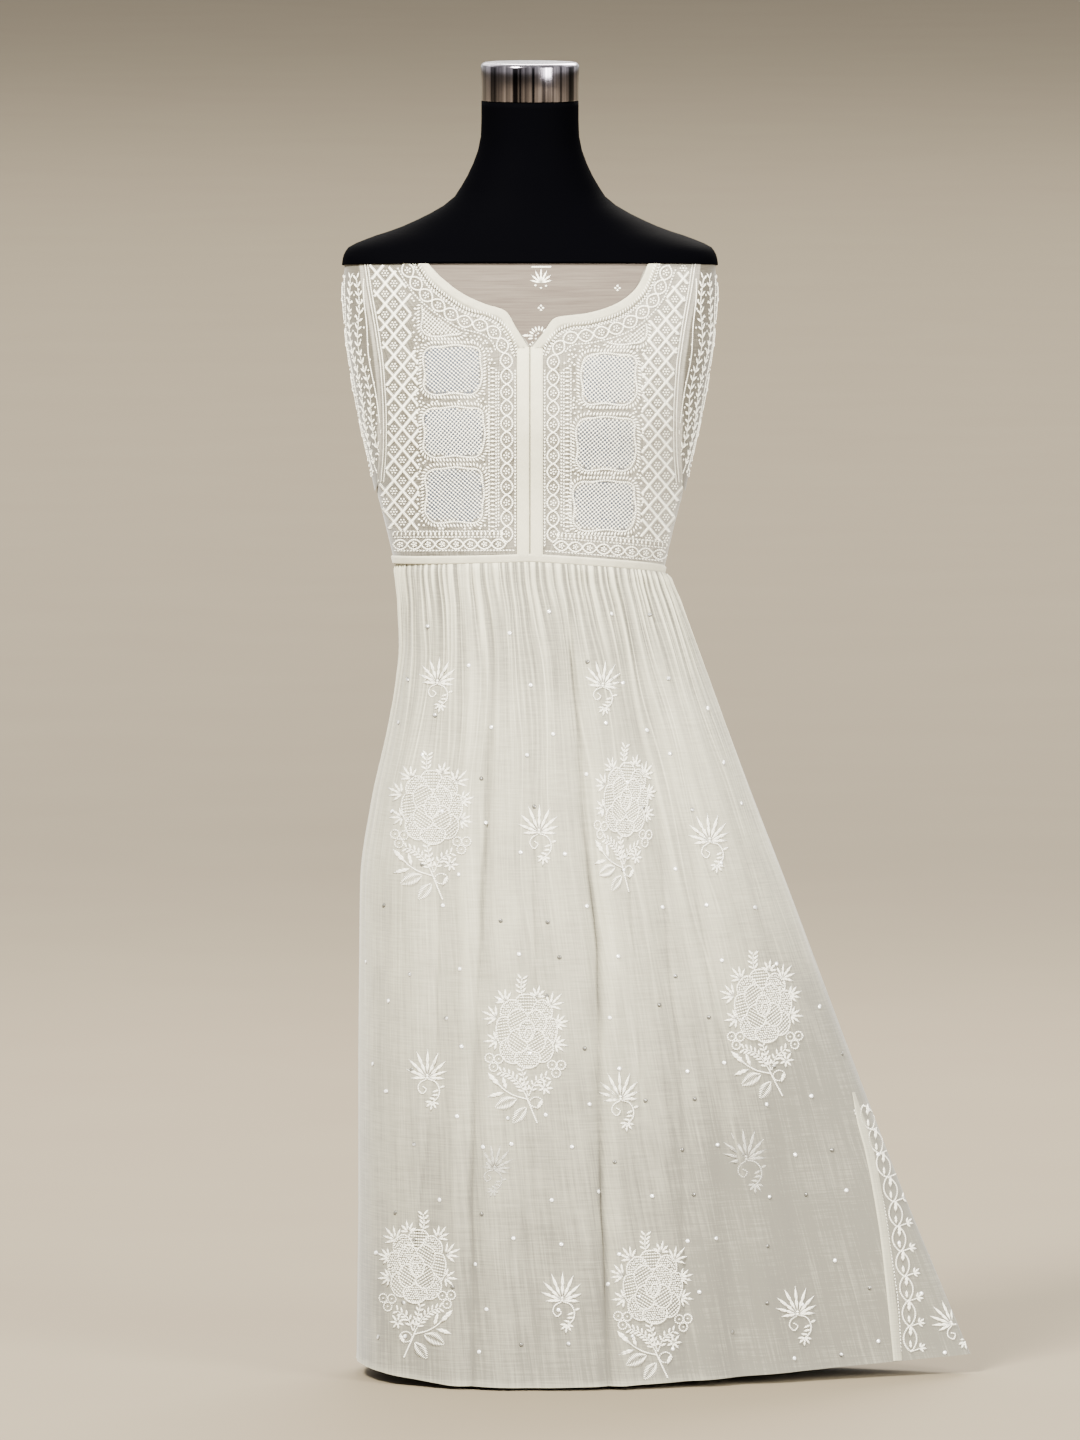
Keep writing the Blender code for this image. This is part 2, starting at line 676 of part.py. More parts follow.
def turned(name, profile, segments, mat):
    """A body turned round the pole's axis from a profile of radius and height, top to bottom."""
    mesh = bpy.data.meshes.new(name)
    verts = [(r * MM, 0, z * MM) for r, z in profile]
    mesh.from_pydata(verts, [(i, i + 1) for i in range(len(verts) - 1)], [])
    obj = bpy.data.objects.new(name, mesh)
    collection.objects.link(obj)
    screw = obj.modifiers.new("Turn", "SCREW")
    screw.axis = "Z"
    screw.steps = segments
    screw.render_steps = segments
    screw.use_merge_vertices = True
    screw.merge_threshold = 0.00001
    mesh.materials.append(mat)
    return obj


CAP_FOOT = 1276.0
cap_top = CAP_FOOT + NECK_CAP_HEIGHT
turned("neck_cap", [(0, cap_top), (43.5, cap_top), (46.6, cap_top - 0.9), (48.6, cap_top - 3.0),
                    (NECK_CAP_RADIUS, cap_top - 6), (NECK_CAP_RADIUS, CAP_FOOT), (0, CAP_FOOT)], 32, CHROME)
pole_top = TORSO_BOTTOM - 0.4
turned("stand_pole", [(0, pole_top), (POLE_RADIUS, pole_top), (POLE_RADIUS, 26.4), (0, 26.4)], 24, STEEL)
turned("stand_base", [(0, 26), (19, 26), (20.5, 24.5), (21, 11), (24, BASE_THICK + 0.6),
                      (BASE_RADIUS - 3, BASE_THICK), (BASE_RADIUS, BASE_THICK - 2), (BASE_RADIUS, 0), (0, 0)],
       32, STEEL)


# Side seam band: the pressed seam that runs down the flared side of the front
def wing_point(x, height, lift):
    """Point on the skirt's front at this x and height, lifted off its face."""
    z = float(height)
    curve = ring(z, True)
    length = np.concatenate([[0], np.cumsum(np.linalg.norm(np.diff(curve, axis=0), axis=1))])
    share = float(np.interp(x, curve[:, 0], length) / length[-1])
    spot, nrm = along(curve, [share])
    facing = np.array([-nrm[0, 1]])
    soft = fold_depth(FRONT_FOLDS, spot[:1, 0], z, facing)[0]
    move = soft + lift
    return (spot[0, 0] + nrm[0, 0] * move, spot[0, 1] + nrm[0, 1] * move, z)


SEAM_BAND = np.array([(285, 320), (257, 326.5), (230, 334), (202, 340), (174, 345), (146, 349.5), (118, 353),
                      (90, 356), (62, 359), (36, 361.5), (15, 363.5)], float)
low_side = []
high_side = []
for z, x in SEAM_BAND:
    for side_x in (x, x + SEAM_BAND_WIDTH / 2, x + SEAM_BAND_WIDTH):
        low_side.append(wing_point(side_x, z, 1.3))
        high_side.append(wing_point(side_x, z, 2.4))
cloth_wall("side_seam_band", np.array(low_side), np.array(high_side), grid_faces(len(SEAM_BAND), 3), TRIM)
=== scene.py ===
import json
import math

import bmesh
import bpy
import numpy as np
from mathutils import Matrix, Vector
from mathutils.bvhtree import BVHTree

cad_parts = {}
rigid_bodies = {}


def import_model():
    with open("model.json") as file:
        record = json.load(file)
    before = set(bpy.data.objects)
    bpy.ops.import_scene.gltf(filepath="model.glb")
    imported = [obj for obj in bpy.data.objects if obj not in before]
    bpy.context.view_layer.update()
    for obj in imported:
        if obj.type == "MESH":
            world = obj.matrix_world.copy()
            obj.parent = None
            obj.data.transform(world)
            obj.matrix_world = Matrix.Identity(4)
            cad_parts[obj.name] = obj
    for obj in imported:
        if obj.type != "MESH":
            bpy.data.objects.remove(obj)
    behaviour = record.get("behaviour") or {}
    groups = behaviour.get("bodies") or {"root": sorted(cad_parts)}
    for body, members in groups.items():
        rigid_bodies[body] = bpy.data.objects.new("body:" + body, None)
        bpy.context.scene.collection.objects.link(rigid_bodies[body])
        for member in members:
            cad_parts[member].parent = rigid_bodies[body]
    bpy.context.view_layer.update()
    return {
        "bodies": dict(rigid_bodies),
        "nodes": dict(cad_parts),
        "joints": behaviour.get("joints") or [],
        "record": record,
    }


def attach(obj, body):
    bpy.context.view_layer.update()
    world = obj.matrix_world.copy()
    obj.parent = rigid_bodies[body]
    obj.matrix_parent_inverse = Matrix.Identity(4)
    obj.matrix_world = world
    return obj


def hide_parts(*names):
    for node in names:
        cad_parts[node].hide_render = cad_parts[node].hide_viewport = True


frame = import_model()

MM = 0.001


def in_scene(name, data):
    """An object that holds this data, linked into the scene."""
    made = bpy.data.objects.new(name, data)
    bpy.context.scene.collection.objects.link(made)
    return made


def smooth_piece(name, mesh):
    """An object in the scene with smooth faces."""
    mesh.polygons.foreach_set("use_smooth", np.ones(len(mesh.polygons), bool))
    return in_scene(name, mesh)


# Camera: a long lens a little above the garment's middle, level with the front. It looks down by
# the angle of the photograph, and its frame is 1.44 metres high at the stand's axis.

LOOK_DOWN = math.radians(4.5)
CAMERA_DISTANCE = 20.0
FRAME_HEIGHT = 1.44
AIM = Vector((0.010, 0.0, 0.656))

lens = bpy.data.cameras.new("Long_Lens")
lens.sensor_width = 36
lens.lens = 36 * CAMERA_DISTANCE / FRAME_HEIGHT
lens.clip_end = 120
camera = in_scene("Camera", lens)
back_from_aim = Vector((0, -math.cos(LOOK_DOWN), math.sin(LOOK_DOWN)))
camera.location = AIM + back_from_aim * CAMERA_DISTANCE
camera.rotation_mode = "QUATERNION"
camera.rotation_quaternion = (-back_from_aim).to_track_quat("-Z", "Y")
bpy.context.scene.camera = camera


# Materials: each is a small tree of nodes, and these functions make its parts.


def from_hex(code):
    """An sRGB hex colour as the linear colour that sockets take."""
    parts = [int(code[i:i + 2], 16) / 255 for i in (1, 3, 5)]
    return (*(c / 12.92 if c <= 0.04045 else ((c + 0.055) / 1.055) ** 2.4 for c in parts), 1.0)


def add_node(tree, kind, settings=(), **links):
    """One node with its properties, its socket values and its incoming links."""
    node = tree.nodes.new(kind)
    for key, value in dict(settings).items():
        if isinstance(key, int) or key in node.inputs:
            node.inputs[key].default_value = value
        else:
            setattr(node, key, value)
    for key, source in links.items():
        tree.links.new(source, node.inputs[int(key[1:]) if key[1:].isdigit() else key.replace("_", " ")])
    return node


def object_place(tree):
    """Places on the piece, in metres."""
    return add_node(tree, "ShaderNodeTexCoord").outputs["Object"]


def cut_place(tree):
    """Places on the flat cut of a cloth, in metres."""
    return add_node(tree, "ShaderNodeUVMap", {"uv_map": "Cut"}).outputs["UV"]


def kept_amount(tree, label):
    """An amount that a mesh keeps on its points."""
    return add_node(tree, "ShaderNodeAttribute", {"attribute_name": label}).outputs["Fac"]


def scaled(tree, place, *scale):
    """Places times a scale each way."""
    return add_node(tree, "ShaderNodeMapping", {"Scale": scale}, Vector=place).outputs["Vector"]


def noise(tree, place, scale, detail, roughness=0.5):
    """An uneven value at these places."""
    return add_node(tree, "ShaderNodeTexNoise", {"Scale": scale, "Detail": detail, "Roughness": roughness},
                    Vector=place).outputs["Fac"]


def ranged(tree, value, low, high, start=0.0, stop=1.0):
    """A value that runs from start to stop, made to run from low to high and held there."""
    limits = {"From Min": start, "From Max": stop, "To Min": low, "To Max": high}
    return add_node(tree, "ShaderNodeMapRange", limits, Value=value).outputs["Result"]


def joined_by(tree, operation, one, two, clamp=False):
    """Two values joined by a sum or another operation."""
    return add_node(tree, "ShaderNodeMath", {"operation": operation, "use_clamp": clamp},
                    _0=one, _1=two).outputs["Value"]


def relief(tree, height, strength, distance):
    """Way that a surface faces where a value raises it, by a distance in metres."""
    return add_node(tree, "ShaderNodeBump", {"Strength": strength, "Distance": distance},
                    Height=height).outputs["Normal"]


def give(tree, socket, value):
    """Links an input to another node's output, or sets it to a plain value."""
    if isinstance(value, bpy.types.NodeSocket):
        tree.links.new(value, socket)
    else:
        socket.default_value = value


def between(tree, one, two, share):
    """Colour from one to another by a share, each an sRGB code or another node's output."""
    node = add_node(tree, "ShaderNodeMix", {"data_type": "RGBA"}, Factor=share)
    for k, colour in ((6, one), (7, two)):
        give(tree, node.inputs[k], from_hex(colour) if isinstance(colour, str) else colour)
    return node.outputs[2]


def new_material(name):
    """An empty material and its node tree."""
    made = bpy.data.materials.new(name)
    made.use_nodes = True
    return made, made.node_tree


def surface(tree, **values):
    """Gives a material's main shader its inputs: plain values, or other nodes' outputs."""
    for key, value in values.items():
        give(tree, tree.nodes["Principled BSDF"].inputs[key.replace("_", " ")], value)


# Studio: a pale matt floor that runs on behind the garment, four soft lamps and an even light
# from all round. The key lamp is high on the front left, the fill lamp lower on the front right,
# one lights the shoulders from behind and a very large one lights the far floor.

FLOOR_RADIUS = 45.0

# Floor paint: rolled on and quite matt, with a faint cloudiness. Its colour is held down, because
# the lamps are set for white cloth and make it pale.
flat = bmesh.new()
bmesh.ops.create_circle(flat, cap_ends=True, segments=96, radius=FLOOR_RADIUS)
floor_mesh = bpy.data.meshes.new("Studio_Floor")
flat.to_mesh(floor_mesh)
flat.free()
floor = in_scene("Studio_Floor", floor_mesh)

floor_paint, tree = new_material("Matt_Floor_Paint")
grain = noise(tree, object_place(tree), 3.0, 4.0)
surface(tree, Base_Color=between(tree, "#695F4F", "#6D6453", grain), Roughness=0.9, Specular_IOR_Level=0.1)
floor_mesh.materials.append(floor_paint)

world = bpy.data.worlds.new("Studio_Air")
bpy.context.scene.world = world
world.use_nodes = True
world.node_tree.nodes["Background"].inputs["Color"].default_value = from_hex("#DAD8D4")
world.node_tree.nodes["Background"].inputs["Strength"].default_value = 1.86


def soft_lamp(name, place, aim, size, watts, colour):
    lamp = bpy.data.lights.new(name, "AREA")
    lamp.shape = "RECTANGLE"
    lamp.size = size[0]
    lamp.size_y = size[1]
    lamp.energy = watts
    lamp.color = from_hex(colour)[:3]
    holder = in_scene(name, lamp)
    holder.location = place
    holder.rotation_mode = "QUATERNION"
    holder.rotation_quaternion = (Vector(aim) - Vector(place)).to_track_quat("-Z", "Y")


soft_lamp("Key_Lamp", (-2.3, -2.9, 4.3), (0.05, 0, 0.8), (1.2, 1.2), 1430, "#FFFBF0")
soft_lamp("Fill_Lamp", (2.9, -3.4, 1.9), (0.05, 0, 0.7), (1.6, 2.2), 658, "#FFFCF4")
soft_lamp("Back_Lamp", (0.8, 3.6, 3.4), (0, 0, 0.8), (2.4, 1.6), 497, "#FFF8EE")
soft_lamp("Floor_Lamp", (0, 14.0, 7.0), (0, 14.0, 0), (22.0, 22.0), 7176, "#FFFDF8")


# Dress form: a linen-covered torso, shaped by a table of sizes. The black neck and shoulders
# drop over it and over the shoulders of the kurta, with their lower rim cut square to the eye.

# Outside of the dressed form: height, half width, chest depth, back depth, squareness
BODY = np.array([
    (1276, 48.5, 48.5, 48.5, 2.0),
    (1248, 48.5, 48.5, 48.5, 2.0),
    (1228, 51.5, 50.0, 50.0, 2.0),
    (1208, 59.0, 54.0, 54.0, 2.0),
    (1188, 70.0, 58.0, 60.0, 2.0),
    (1178, 77.0, 61.0, 64.0, 2.0),
    (1168, 91.0, 64.0, 69.0, 2.05),
    (1158, 110.0, 68.0, 75.0, 2.1),
    (1148, 132.5, 73.0, 81.0, 2.15),
    (1138, 162.0, 79.0, 87.0, 2.2),
    (1128, 182.5, 86.0, 92.0, 2.25),
    (1118, 187.0, 92.0, 96.0, 2.3),
    (1108, 188.0, 97.0, 99.0, 2.3),
    (1084, 187.5, 107.0, 102.0, 2.3),
    (1044, 184.5, 118.0, 103.0, 2.3),
    (1004, 179.0, 124.0, 101.0, 2.25),
    (964, 171.5, 122.0, 97.0, 2.25),
    (924, 162.5, 112.0, 92.0, 2.25),
    (884, 154.0, 102.0, 88.0, 2.25),
    (844, 144.0, 96.0, 85.0, 2.25),
    (814, 137.0, 92.0, 83.0, 2.25),
    (774, 129.0, 89.0, 83.0, 2.2),
    (734, 127.0, 89.0, 87.0, 2.2),
    (694, 129.0, 92.0, 94.0, 2.2),
    (654, 134.0, 97.0, 103.0, 2.2),
    (614, 140.0, 102.0, 109.0, 2.2),
    (574, 142.0, 104.0, 111.0, 2.2),
    (560, 142.0, 104.0, 111.0, 2.2),
])
# How far the bare form lies under that outside: height, depth
CLEARANCE = np.array([(560, 2.6), (814, 2.6), (884, 2.7), (964, 3.3), (1060, 3.9), (1276, 3.9)])
TORSO_BOTTOM = 566.0
CAP_RIM = 1108.0


def through(table, column):
    """A smooth curve through one column of a table, with no overshoot between its rows."""
    rows = table[np.argsort(table[:, 0])]
    h = rows[:, 0]
    v = rows[:, column]
    steep = np.diff(v) / np.diff(h)
    slope = np.zeros(len(h))
    slope[0] = steep[0]
    slope[-1] = steep[-1]
    for i in range(1, len(h) - 1):
        if steep[i - 1] * steep[i] > 0:
            w1 = 2 * (h[i + 1] - h[i]) + (h[i] - h[i - 1])
            w2 = (h[i + 1] - h[i]) + 2 * (h[i] - h[i - 1])
            slope[i] = (w1 + w2) / (w1 / steep[i - 1] + w2 / steep[i])

    def at(x):
        x = np.clip(np.asarray(x, float), h[0], h[-1])
        i = np.clip(np.searchsorted(h, x) - 1, 0, len(h) - 2)
        step = h[i + 1] - h[i]
        t = (x - h[i]) / step
        return (v[i] * (1 + 2 * t) * (1 - t) ** 2 + slope[i] * step * t * (1 - t) ** 2
                + v[i + 1] * t * t * (3 - 2 * t) + slope[i + 1] * step * t * t * (t - 1))

    return at


def length_along(path):
    """Length from the first point of a path to each of its points."""
    return np.concatenate([[0], np.cumsum(np.linalg.norm(np.diff(path, axis=0), axis=1))])


def at_lengths(path, want):
    """Points at these lengths along a path."""
    length = length_along(path)
    return np.column_stack([np.interp(want, length, path[:, k]) for k in (0, 1)])


HALF, CHEST, BACK, SQUARE = (through(BODY, k) for k in range(1, 5))
DEPTH = through(CLEARANCE, 1)


def outside(turn, height):
    """Point of the dressed outside. Turn is in degrees: 0 front, 90 right side, 180 back."""
    a = np.radians(turn)
    half = HALF(height)
    depth = np.where(np.cos(a) > 0, CHEST(height), BACK(height))
    n = SQUARE(height)
    s = half * np.sin(a)
    c = depth * np.cos(a)
    far = np.hypot(s, c)
    s = s / far
    c = c / far
    r = (np.abs(s / half) ** n + np.abs(c / depth) ** n) ** (-1.0 / n)
    return np.stack([r * s, -r * c, np.asarray(height, float) + 0 * r], axis=-1)


def form_normal(turn, height):
    """Way that the dressed outside faces at a turn and a height."""
    round_it = outside(turn + 0.4, height) - outside(turn - 0.4, height)
    up_it = outside(turn, height + 0.6) - outside(turn, height - 0.6)
    normal = np.cross(round_it, up_it)
    return normal / np.linalg.norm(normal, axis=-1, keepdims=True)


def on_form(turn, height, lift):
    """Point this far off the bare form, square to its surface."""
    turn, height = np.broadcast_arrays(np.asarray(turn, float), np.asarray(height, float))
    move = np.asarray(lift, float) - DEPTH(height)
    return outside(turn, height) + form_normal(turn, height) * move[..., None]


def laid_grid(name, points, cut=None, closed=False, **amounts):
    """A flat grid laid on rows and columns of points in millimetres.

    Its cut is kept as a UV map in metres, and each named amount as a value on its points. A closed
    one is a tube, sewn where its last column meets its first and filled at both ends.
    """
    rows, columns = points.shape[:2]
    bm = bmesh.new()
    bmesh.ops.create_grid(bm, x_segments=columns - 1, y_segments=rows - 1, size=1)
    mesh = bpy.data.meshes.new(name)
    bm.to_mesh(mesh)
    bm.free()
    lies = np.zeros(rows * columns * 3)
    mesh.vertices.foreach_get("co", lies)
    j = np.rint((lies[0::3] + 1) / 2 * (columns - 1)).astype(int)
    i = np.rint((lies[1::3] + 1) / 2 * (rows - 1)).astype(int)
    mesh.vertices.foreach_set("co", (points[i, j] * MM).ravel())
    if cut is not None:
        corner = np.zeros(len(mesh.loops), int)
        mesh.loops.foreach_get("vertex_index", corner)
        mesh.uv_layers.new(name="Cut").data.foreach_set("uv", (cut[i, j][corner] * MM).ravel())
    for label, amount in amounts.items():
        mesh.attributes.new(label, "FLOAT", "POINT").data.foreach_set("value", amount[i, j])
    if closed:
        bm = bmesh.new()
        bm.from_mesh(mesh)
        bmesh.ops.remove_doubles(bm, verts=bm.verts[:], dist=0.00001)
        bmesh.ops.holes_fill(bm, edges=[e for e in bm.edges if e.is_boundary], sides=0)
        bmesh.ops.recalc_face_normals(bm, faces=bm.faces[:])
        bm.to_mesh(mesh)
        bm.free()
    return smooth_piece(name, mesh)


def dress(piece, slot_name, finish, *nodes):
    """Gives a piece its material, lets it ride on the part and stand for its solids; the slot name is not
    used.
    """
    piece.data.materials.clear()
    piece.data.materials.append(finish)
    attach(piece, "root")
    if nodes:
        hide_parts(*nodes)


# Linen of the torso: plain woven, a thread about every 0.8 mm, drawn at 1.6 mm so that it shows
form_linen, tree = new_material("Woven_Linen_Cover")
place = object_place(tree)
threads_up = add_node(tree, "ShaderNodeTexWave", {"Scale": 200.0, "Distortion": 1.5, "Detail": 1.0,
                                                  "bands_direction": "Z"}, Vector=place).outputs["Fac"]
slub = noise(tree, place, 90.0, 3.0)
surface(tree, Base_Color=between(tree, "#A89D8C", "#B7AE9D", slub),
        Normal=relief(tree, threads_up, 0.35, 0.0004), Roughness=0.85, Sheen_Weight=0.15)

torso_turns = np.linspace(-180, 180, 97)[None, :]
torso_heights = np.concatenate([[1158, 1150], np.linspace(1142, TORSO_BOTTOM, 60)])[:, None]
sunk = np.where((torso_heights > 830) & (torso_heights < 1100), 1.0, 2.0)
torso = laid_grid("Linen_Torso", on_form(torso_turns, torso_heights, -sunk), closed=True)
dress(torso, "form_linen", form_linen, "form_torso")

# Black shoulders: moulded and sprayed, a soft gloss that stays dark and shows only a rim of light
form_black, tree = new_material("Sprayed_Black_Moulding")
place = object_place(tree)
mist = noise(tree, place, 14.0, 5.0)
peel = noise(tree, place, 700.0, 2.0)
surface(tree, Base_Color=from_hex("#020203"), Roughness=ranged(tree, mist, 0.55, 0.66),
        Normal=relief(tree, peel, 0.08, 0.0002), Specular_IOR_Level=0.03, IOR=1.08)


def rim_height(turn):
    """The black piece is cut square to the eye, so its rim is a straight line from the front."""
    z = np.full(np.shape(turn), CAP_RIM)
    for _ in range(5):
        y = outside(turn, z)[..., 1]
        z = (CAP_RIM - y * math.sin(LOOK_DOWN)) / math.cos(LOOK_DOWN)
    return z


CAP_THICK_LOW = 2.6
shoulder_turns = np.linspace(-180, 180, 121)[None, :]
rim = rim_height(shoulder_turns)
climb = [np.full(rim.shape, h) for h in (1129, 1133, 1137, 1141, 1145, 1150, 1156, 1163, 1171, 1180, 1190,
                                         1201, 1213, 1226, 1240, 1256, 1270, 1275.6)]
low_levels = [rim + (1129 - rim) * t for t in (0.08, 0.2, 0.4, 0.6, 0.8)]
shell = [on_form(shoulder_turns, level, DEPTH(level)) for level in reversed([rim + 0.9, *low_levels, *climb])]
edge = [on_form(shoulder_turns, rim + 0.25, DEPTH(rim) - 0.25),
        on_form(shoulder_turns, rim, DEPTH(rim) - 0.8)]
hollow = [on_form(shoulder_turns, level, CAP_THICK_LOW) for level in [rim + 0.6, *low_levels, *climb[:7]]]
shoulders = laid_grid("Black_Shoulders", np.concatenate(shell + edge + hollow), closed=True)
dress(shoulders, "form_black", form_black, "form_shoulders")

# Neck cap: a turned and polished steel lid, its top edge rolled over. Its colour is painted with reflections
# of the studio: dark and light upright bands round the side, and a light top.
CAP_FOOT = 1276.0
CAP_RADIUS = 49.0
CAP_HEIGHT = 38.0
CAP_ROLL = 4.5

polished_steel, tree = new_material("Polished_Steel_Cap")
place = object_place(tree)
smear = noise(tree, place, 35.0, 3.0)
# Painted reflection: upright bands of dark and light, and a light colour on faces that look up
painted_reflection_bands = noise(tree, scaled(tree, place, 95.0, 95.0, 0.0), 1.0, 2.0, 0.7)
facing = add_node(tree, "ShaderNodeNewGeometry").outputs["Normal"]
painted_top_light = add_node(tree, "ShaderNodeSeparateXYZ", Vector=facing).outputs["Z"]
painted_reflection = joined_by(tree, "MAXIMUM", ranged(tree, painted_reflection_bands, 0.0, 1.0, 0.42, 0.6), painted_top_light)
surface(tree, Base_Color=between(tree, "#121115", "#8D8891", painted_reflection),
        Roughness=ranged(tree, smear, 0.10, 0.20), Metallic=1.0)


def turned(name, profile, steps):
    """A closed body spun from a profile of radius and height in millimetres."""
    bm = bmesh.new()
    spots = [bm.verts.new((r * MM, 0, z * MM)) for r, z in profile]
    edges = [bm.edges.new(pair) for pair in zip(spots, spots[1:])]
    bmesh.ops.spin(bm, geom=spots + edges, cent=(0, 0, 0), axis=(0, 0, 1), angle=math.tau, steps=steps,
                   use_merge=True)
    bmesh.ops.remove_doubles(bm, verts=bm.verts[:], dist=0.00001)
    bmesh.ops.recalc_face_normals(bm, faces=bm.faces[:])
    mesh = bpy.data.meshes.new(name)
    bm.to_mesh(mesh)
    bm.free()
    made = smooth_piece(name, mesh)
    mesh.set_sharp_from_angle(angle=math.radians(32))
    return made


cap_top = CAP_FOOT + CAP_HEIGHT
rolled = [(CAP_RADIUS - CAP_ROLL + CAP_ROLL * math.sin(a), cap_top - CAP_ROLL + CAP_ROLL * math.cos(a))
          for a in np.linspace(0, math.pi / 2, 9)]
cap_profile = [(0, cap_top - 0.4), (30, cap_top - 0.3), *rolled, (CAP_RADIUS, CAP_FOOT + 1.2),
               (CAP_RADIUS - 0.5, CAP_FOOT + 0.3), (0, CAP_FOOT + 0.3)]
cap = turned("Steel_Neck_Cap", cap_profile, 96)
dress(cap, "chrome_cap", polished_steel, "neck_cap")

# Pole and base: drawn steel tube in a turned socket on a round plate, both brushed
POLE_RADIUS = 12.5
POLE_FOOT = 26.4
# Socket and plate from the socket's mouth down to the underside: radius, height
BASE_PROFILE = [(0, 26), (18.4, 26), (19.8, 25.5), (20.5, 24.2), (21, 11), (22.2, 8.6), (24.5, 7.6),
                (118.5, 7), (120.6, 6.5), (121.7, 5.4), (122, 4.6), (122, 0.6), (121.4, 0), (0, 0)]

brushed_steel, tree = new_material("Brushed_Stand_Steel")
lines = noise(tree, scaled(tree, object_place(tree), 900.0, 900.0, 30.0), 1.0, 2.0)
surface(tree, Base_Color=from_hex("#96969A"), Roughness=ranged(tree, lines, 0.28, 0.42), Metallic=1.0)

pole_top = TORSO_BOTTOM - 0.4
pole_profile = [(0, pole_top), (POLE_RADIUS, pole_top), (POLE_RADIUS, POLE_FOOT), (0, POLE_FOOT)]
pole = turned("Steel_Pole", pole_profile, 48)
dress(pole, "stand_steel", brushed_steel, "stand_pole")
base = turned("Steel_Base", BASE_PROFILE, 96)
dress(base, "stand_steel", brushed_steel, "stand_base")


# Yoke: two fronts and one back, cut from sheer muslin, joined at the shoulders and the sides and
# stitched all over before cutting. The linen under it shows through, so its ground is a tone darker.

# Neckline and armhole seen from the front: x, height
SLIT_FOOT = (0.0, 1023.0)
NECK_RIGHT = np.array([(26, 1054), (60, 1059), (90, 1070), (110, 1089), (118, 1108)], float)
NECK_LEFT = np.array([(-25, 1061), (-60, 1074), (-88, 1094), (-97, 1102), (-102, 1108)], float)
ARMHOLE = np.array([(152.5, 892), (150, 924), (150, 964), (152.5, 1004), (155, 1024), (158, 1044),
                    (161.5, 1064), (165, 1084), (167, 1098), (168.5, 1108)], float)
NECK_POINT_HEIGHT = 1154.0
BACK_NECK_HEIGHT = 1118.0
UNDERARM_HEIGHT = 880.0
SHOULDER_TIP_HEIGHT = 1136.0
WAIST_LEFT, WAIST_FRONT, WAIST_RIGHT = 813.0, 821.0, 801.0
YOKE_LIFT = 1.1
SEAM_STRIP = 7.0
SEAM_RISE = 0.35
# Places in the edges' lists where the slit starts, and where the armhole starts
SLIT_ROW = 9
SIDE_ROWS = 4
EDGE_STEPS = 6
# Share of the muslin's full colour on the stretched yoke
GROUND = 0.25


def seen(x, height):
    """Turn and true height of front points given by their x and by the height they are seen at."""
    x, height = np.broadcast_arrays(np.asarray(x, float), np.asarray(height, float))
    z = height + 0.0
    turn = np.degrees(np.arcsin(np.clip(x / HALF(z), -0.999, 0.999)))
    for _ in range(8):
        y = outside(turn, z)[..., 1]
        z = (height - y * math.sin(LOOK_DOWN)) / math.cos(LOOK_DOWN)
        low = np.full(z.shape, -90.0)
        high = np.full(z.shape, 90.0)
        for _ in range(18):
            turn = (low + high) / 2
            left_of_it = outside(turn, z)[..., 0] < x
            low = np.where(left_of_it, turn, low)
            high = np.where(left_of_it, high, turn)
    return np.stack([turn, z], axis=-1)


def rounded(points, count):
    """The same path with an even count of points, curved through the given ones."""
    p = np.asarray(points, float)
    length = length_along(p)
    want = np.linspace(0, length[-1], count)
    return np.column_stack([through(np.column_stack([length, p[:, k]]), 1)(want) for k in range(p.shape[1])])


def finer(edge, per):
    """An edge with this many steps between its points, still through all of them."""
    places = np.arange(len(edge), dtype=float)
    want = np.linspace(0, len(edge) - 1, (len(edge) - 1) * per + 1)
    return np.column_stack([through(np.column_stack([places, edge[:, k]]), 1)(want) for k in (0, 1)])


def beside(path, width):
    """A path of turn and height moved sideways by a width in millimetres, to the right of its run."""
    p = np.asarray(path, float)
    turn, height = p[:, 0], p[:, 1]
    per_turn = np.linalg.norm(outside(turn + 0.5, height) - outside(turn - 0.5, height), axis=1)
    per_height = np.linalg.norm(outside(turn, height + 0.5) - outside(turn, height - 0.5), axis=1)
    scale = np.column_stack([per_turn, per_height])
    ahead = np.diff(p, axis=0) * (scale[1:] + scale[:-1]) / 2
    ahead /= np.linalg.norm(ahead, axis=1, keepdims=True)
    side = np.column_stack([ahead[:, 1], -ahead[:, 0]])
    move = np.zeros_like(p)
    move[0] = side[0] * width
    move[-1] = side[-1] * width
    for i in range(1, len(p) - 1):
        mid = side[i - 1] + side[i]
        mid /= np.linalg.norm(mid)
        move[i] = mid * width / max(0.6, float(mid @ side[i]))
    return p + move / scale


def ruled(one, two, columns):
    """Turn and height grid between two edges that have the same count of points."""
    t = np.linspace(0, 1, columns + 1)[None, :, None]
    return one[:, None, :] * (1 - t) + two[:, None, :] * t


def waist(turn):
    """Height of the waist seam all round."""
    t = np.asarray(turn, float)
    to_side = np.clip(np.abs(t) / 90, 0, 1)
    front = np.where(t < 0, WAIST_FRONT + (WAIST_LEFT - WAIST_FRONT) * to_side,
                     WAIST_FRONT + (WAIST_RIGHT - WAIST_FRONT) * to_side ** 1.2)
    round_back = WAIST_RIGHT + (WAIST_LEFT - WAIST_RIGHT) * (t - 90) / 180
    return np.where(np.abs(t) <= 90, front, round_back)


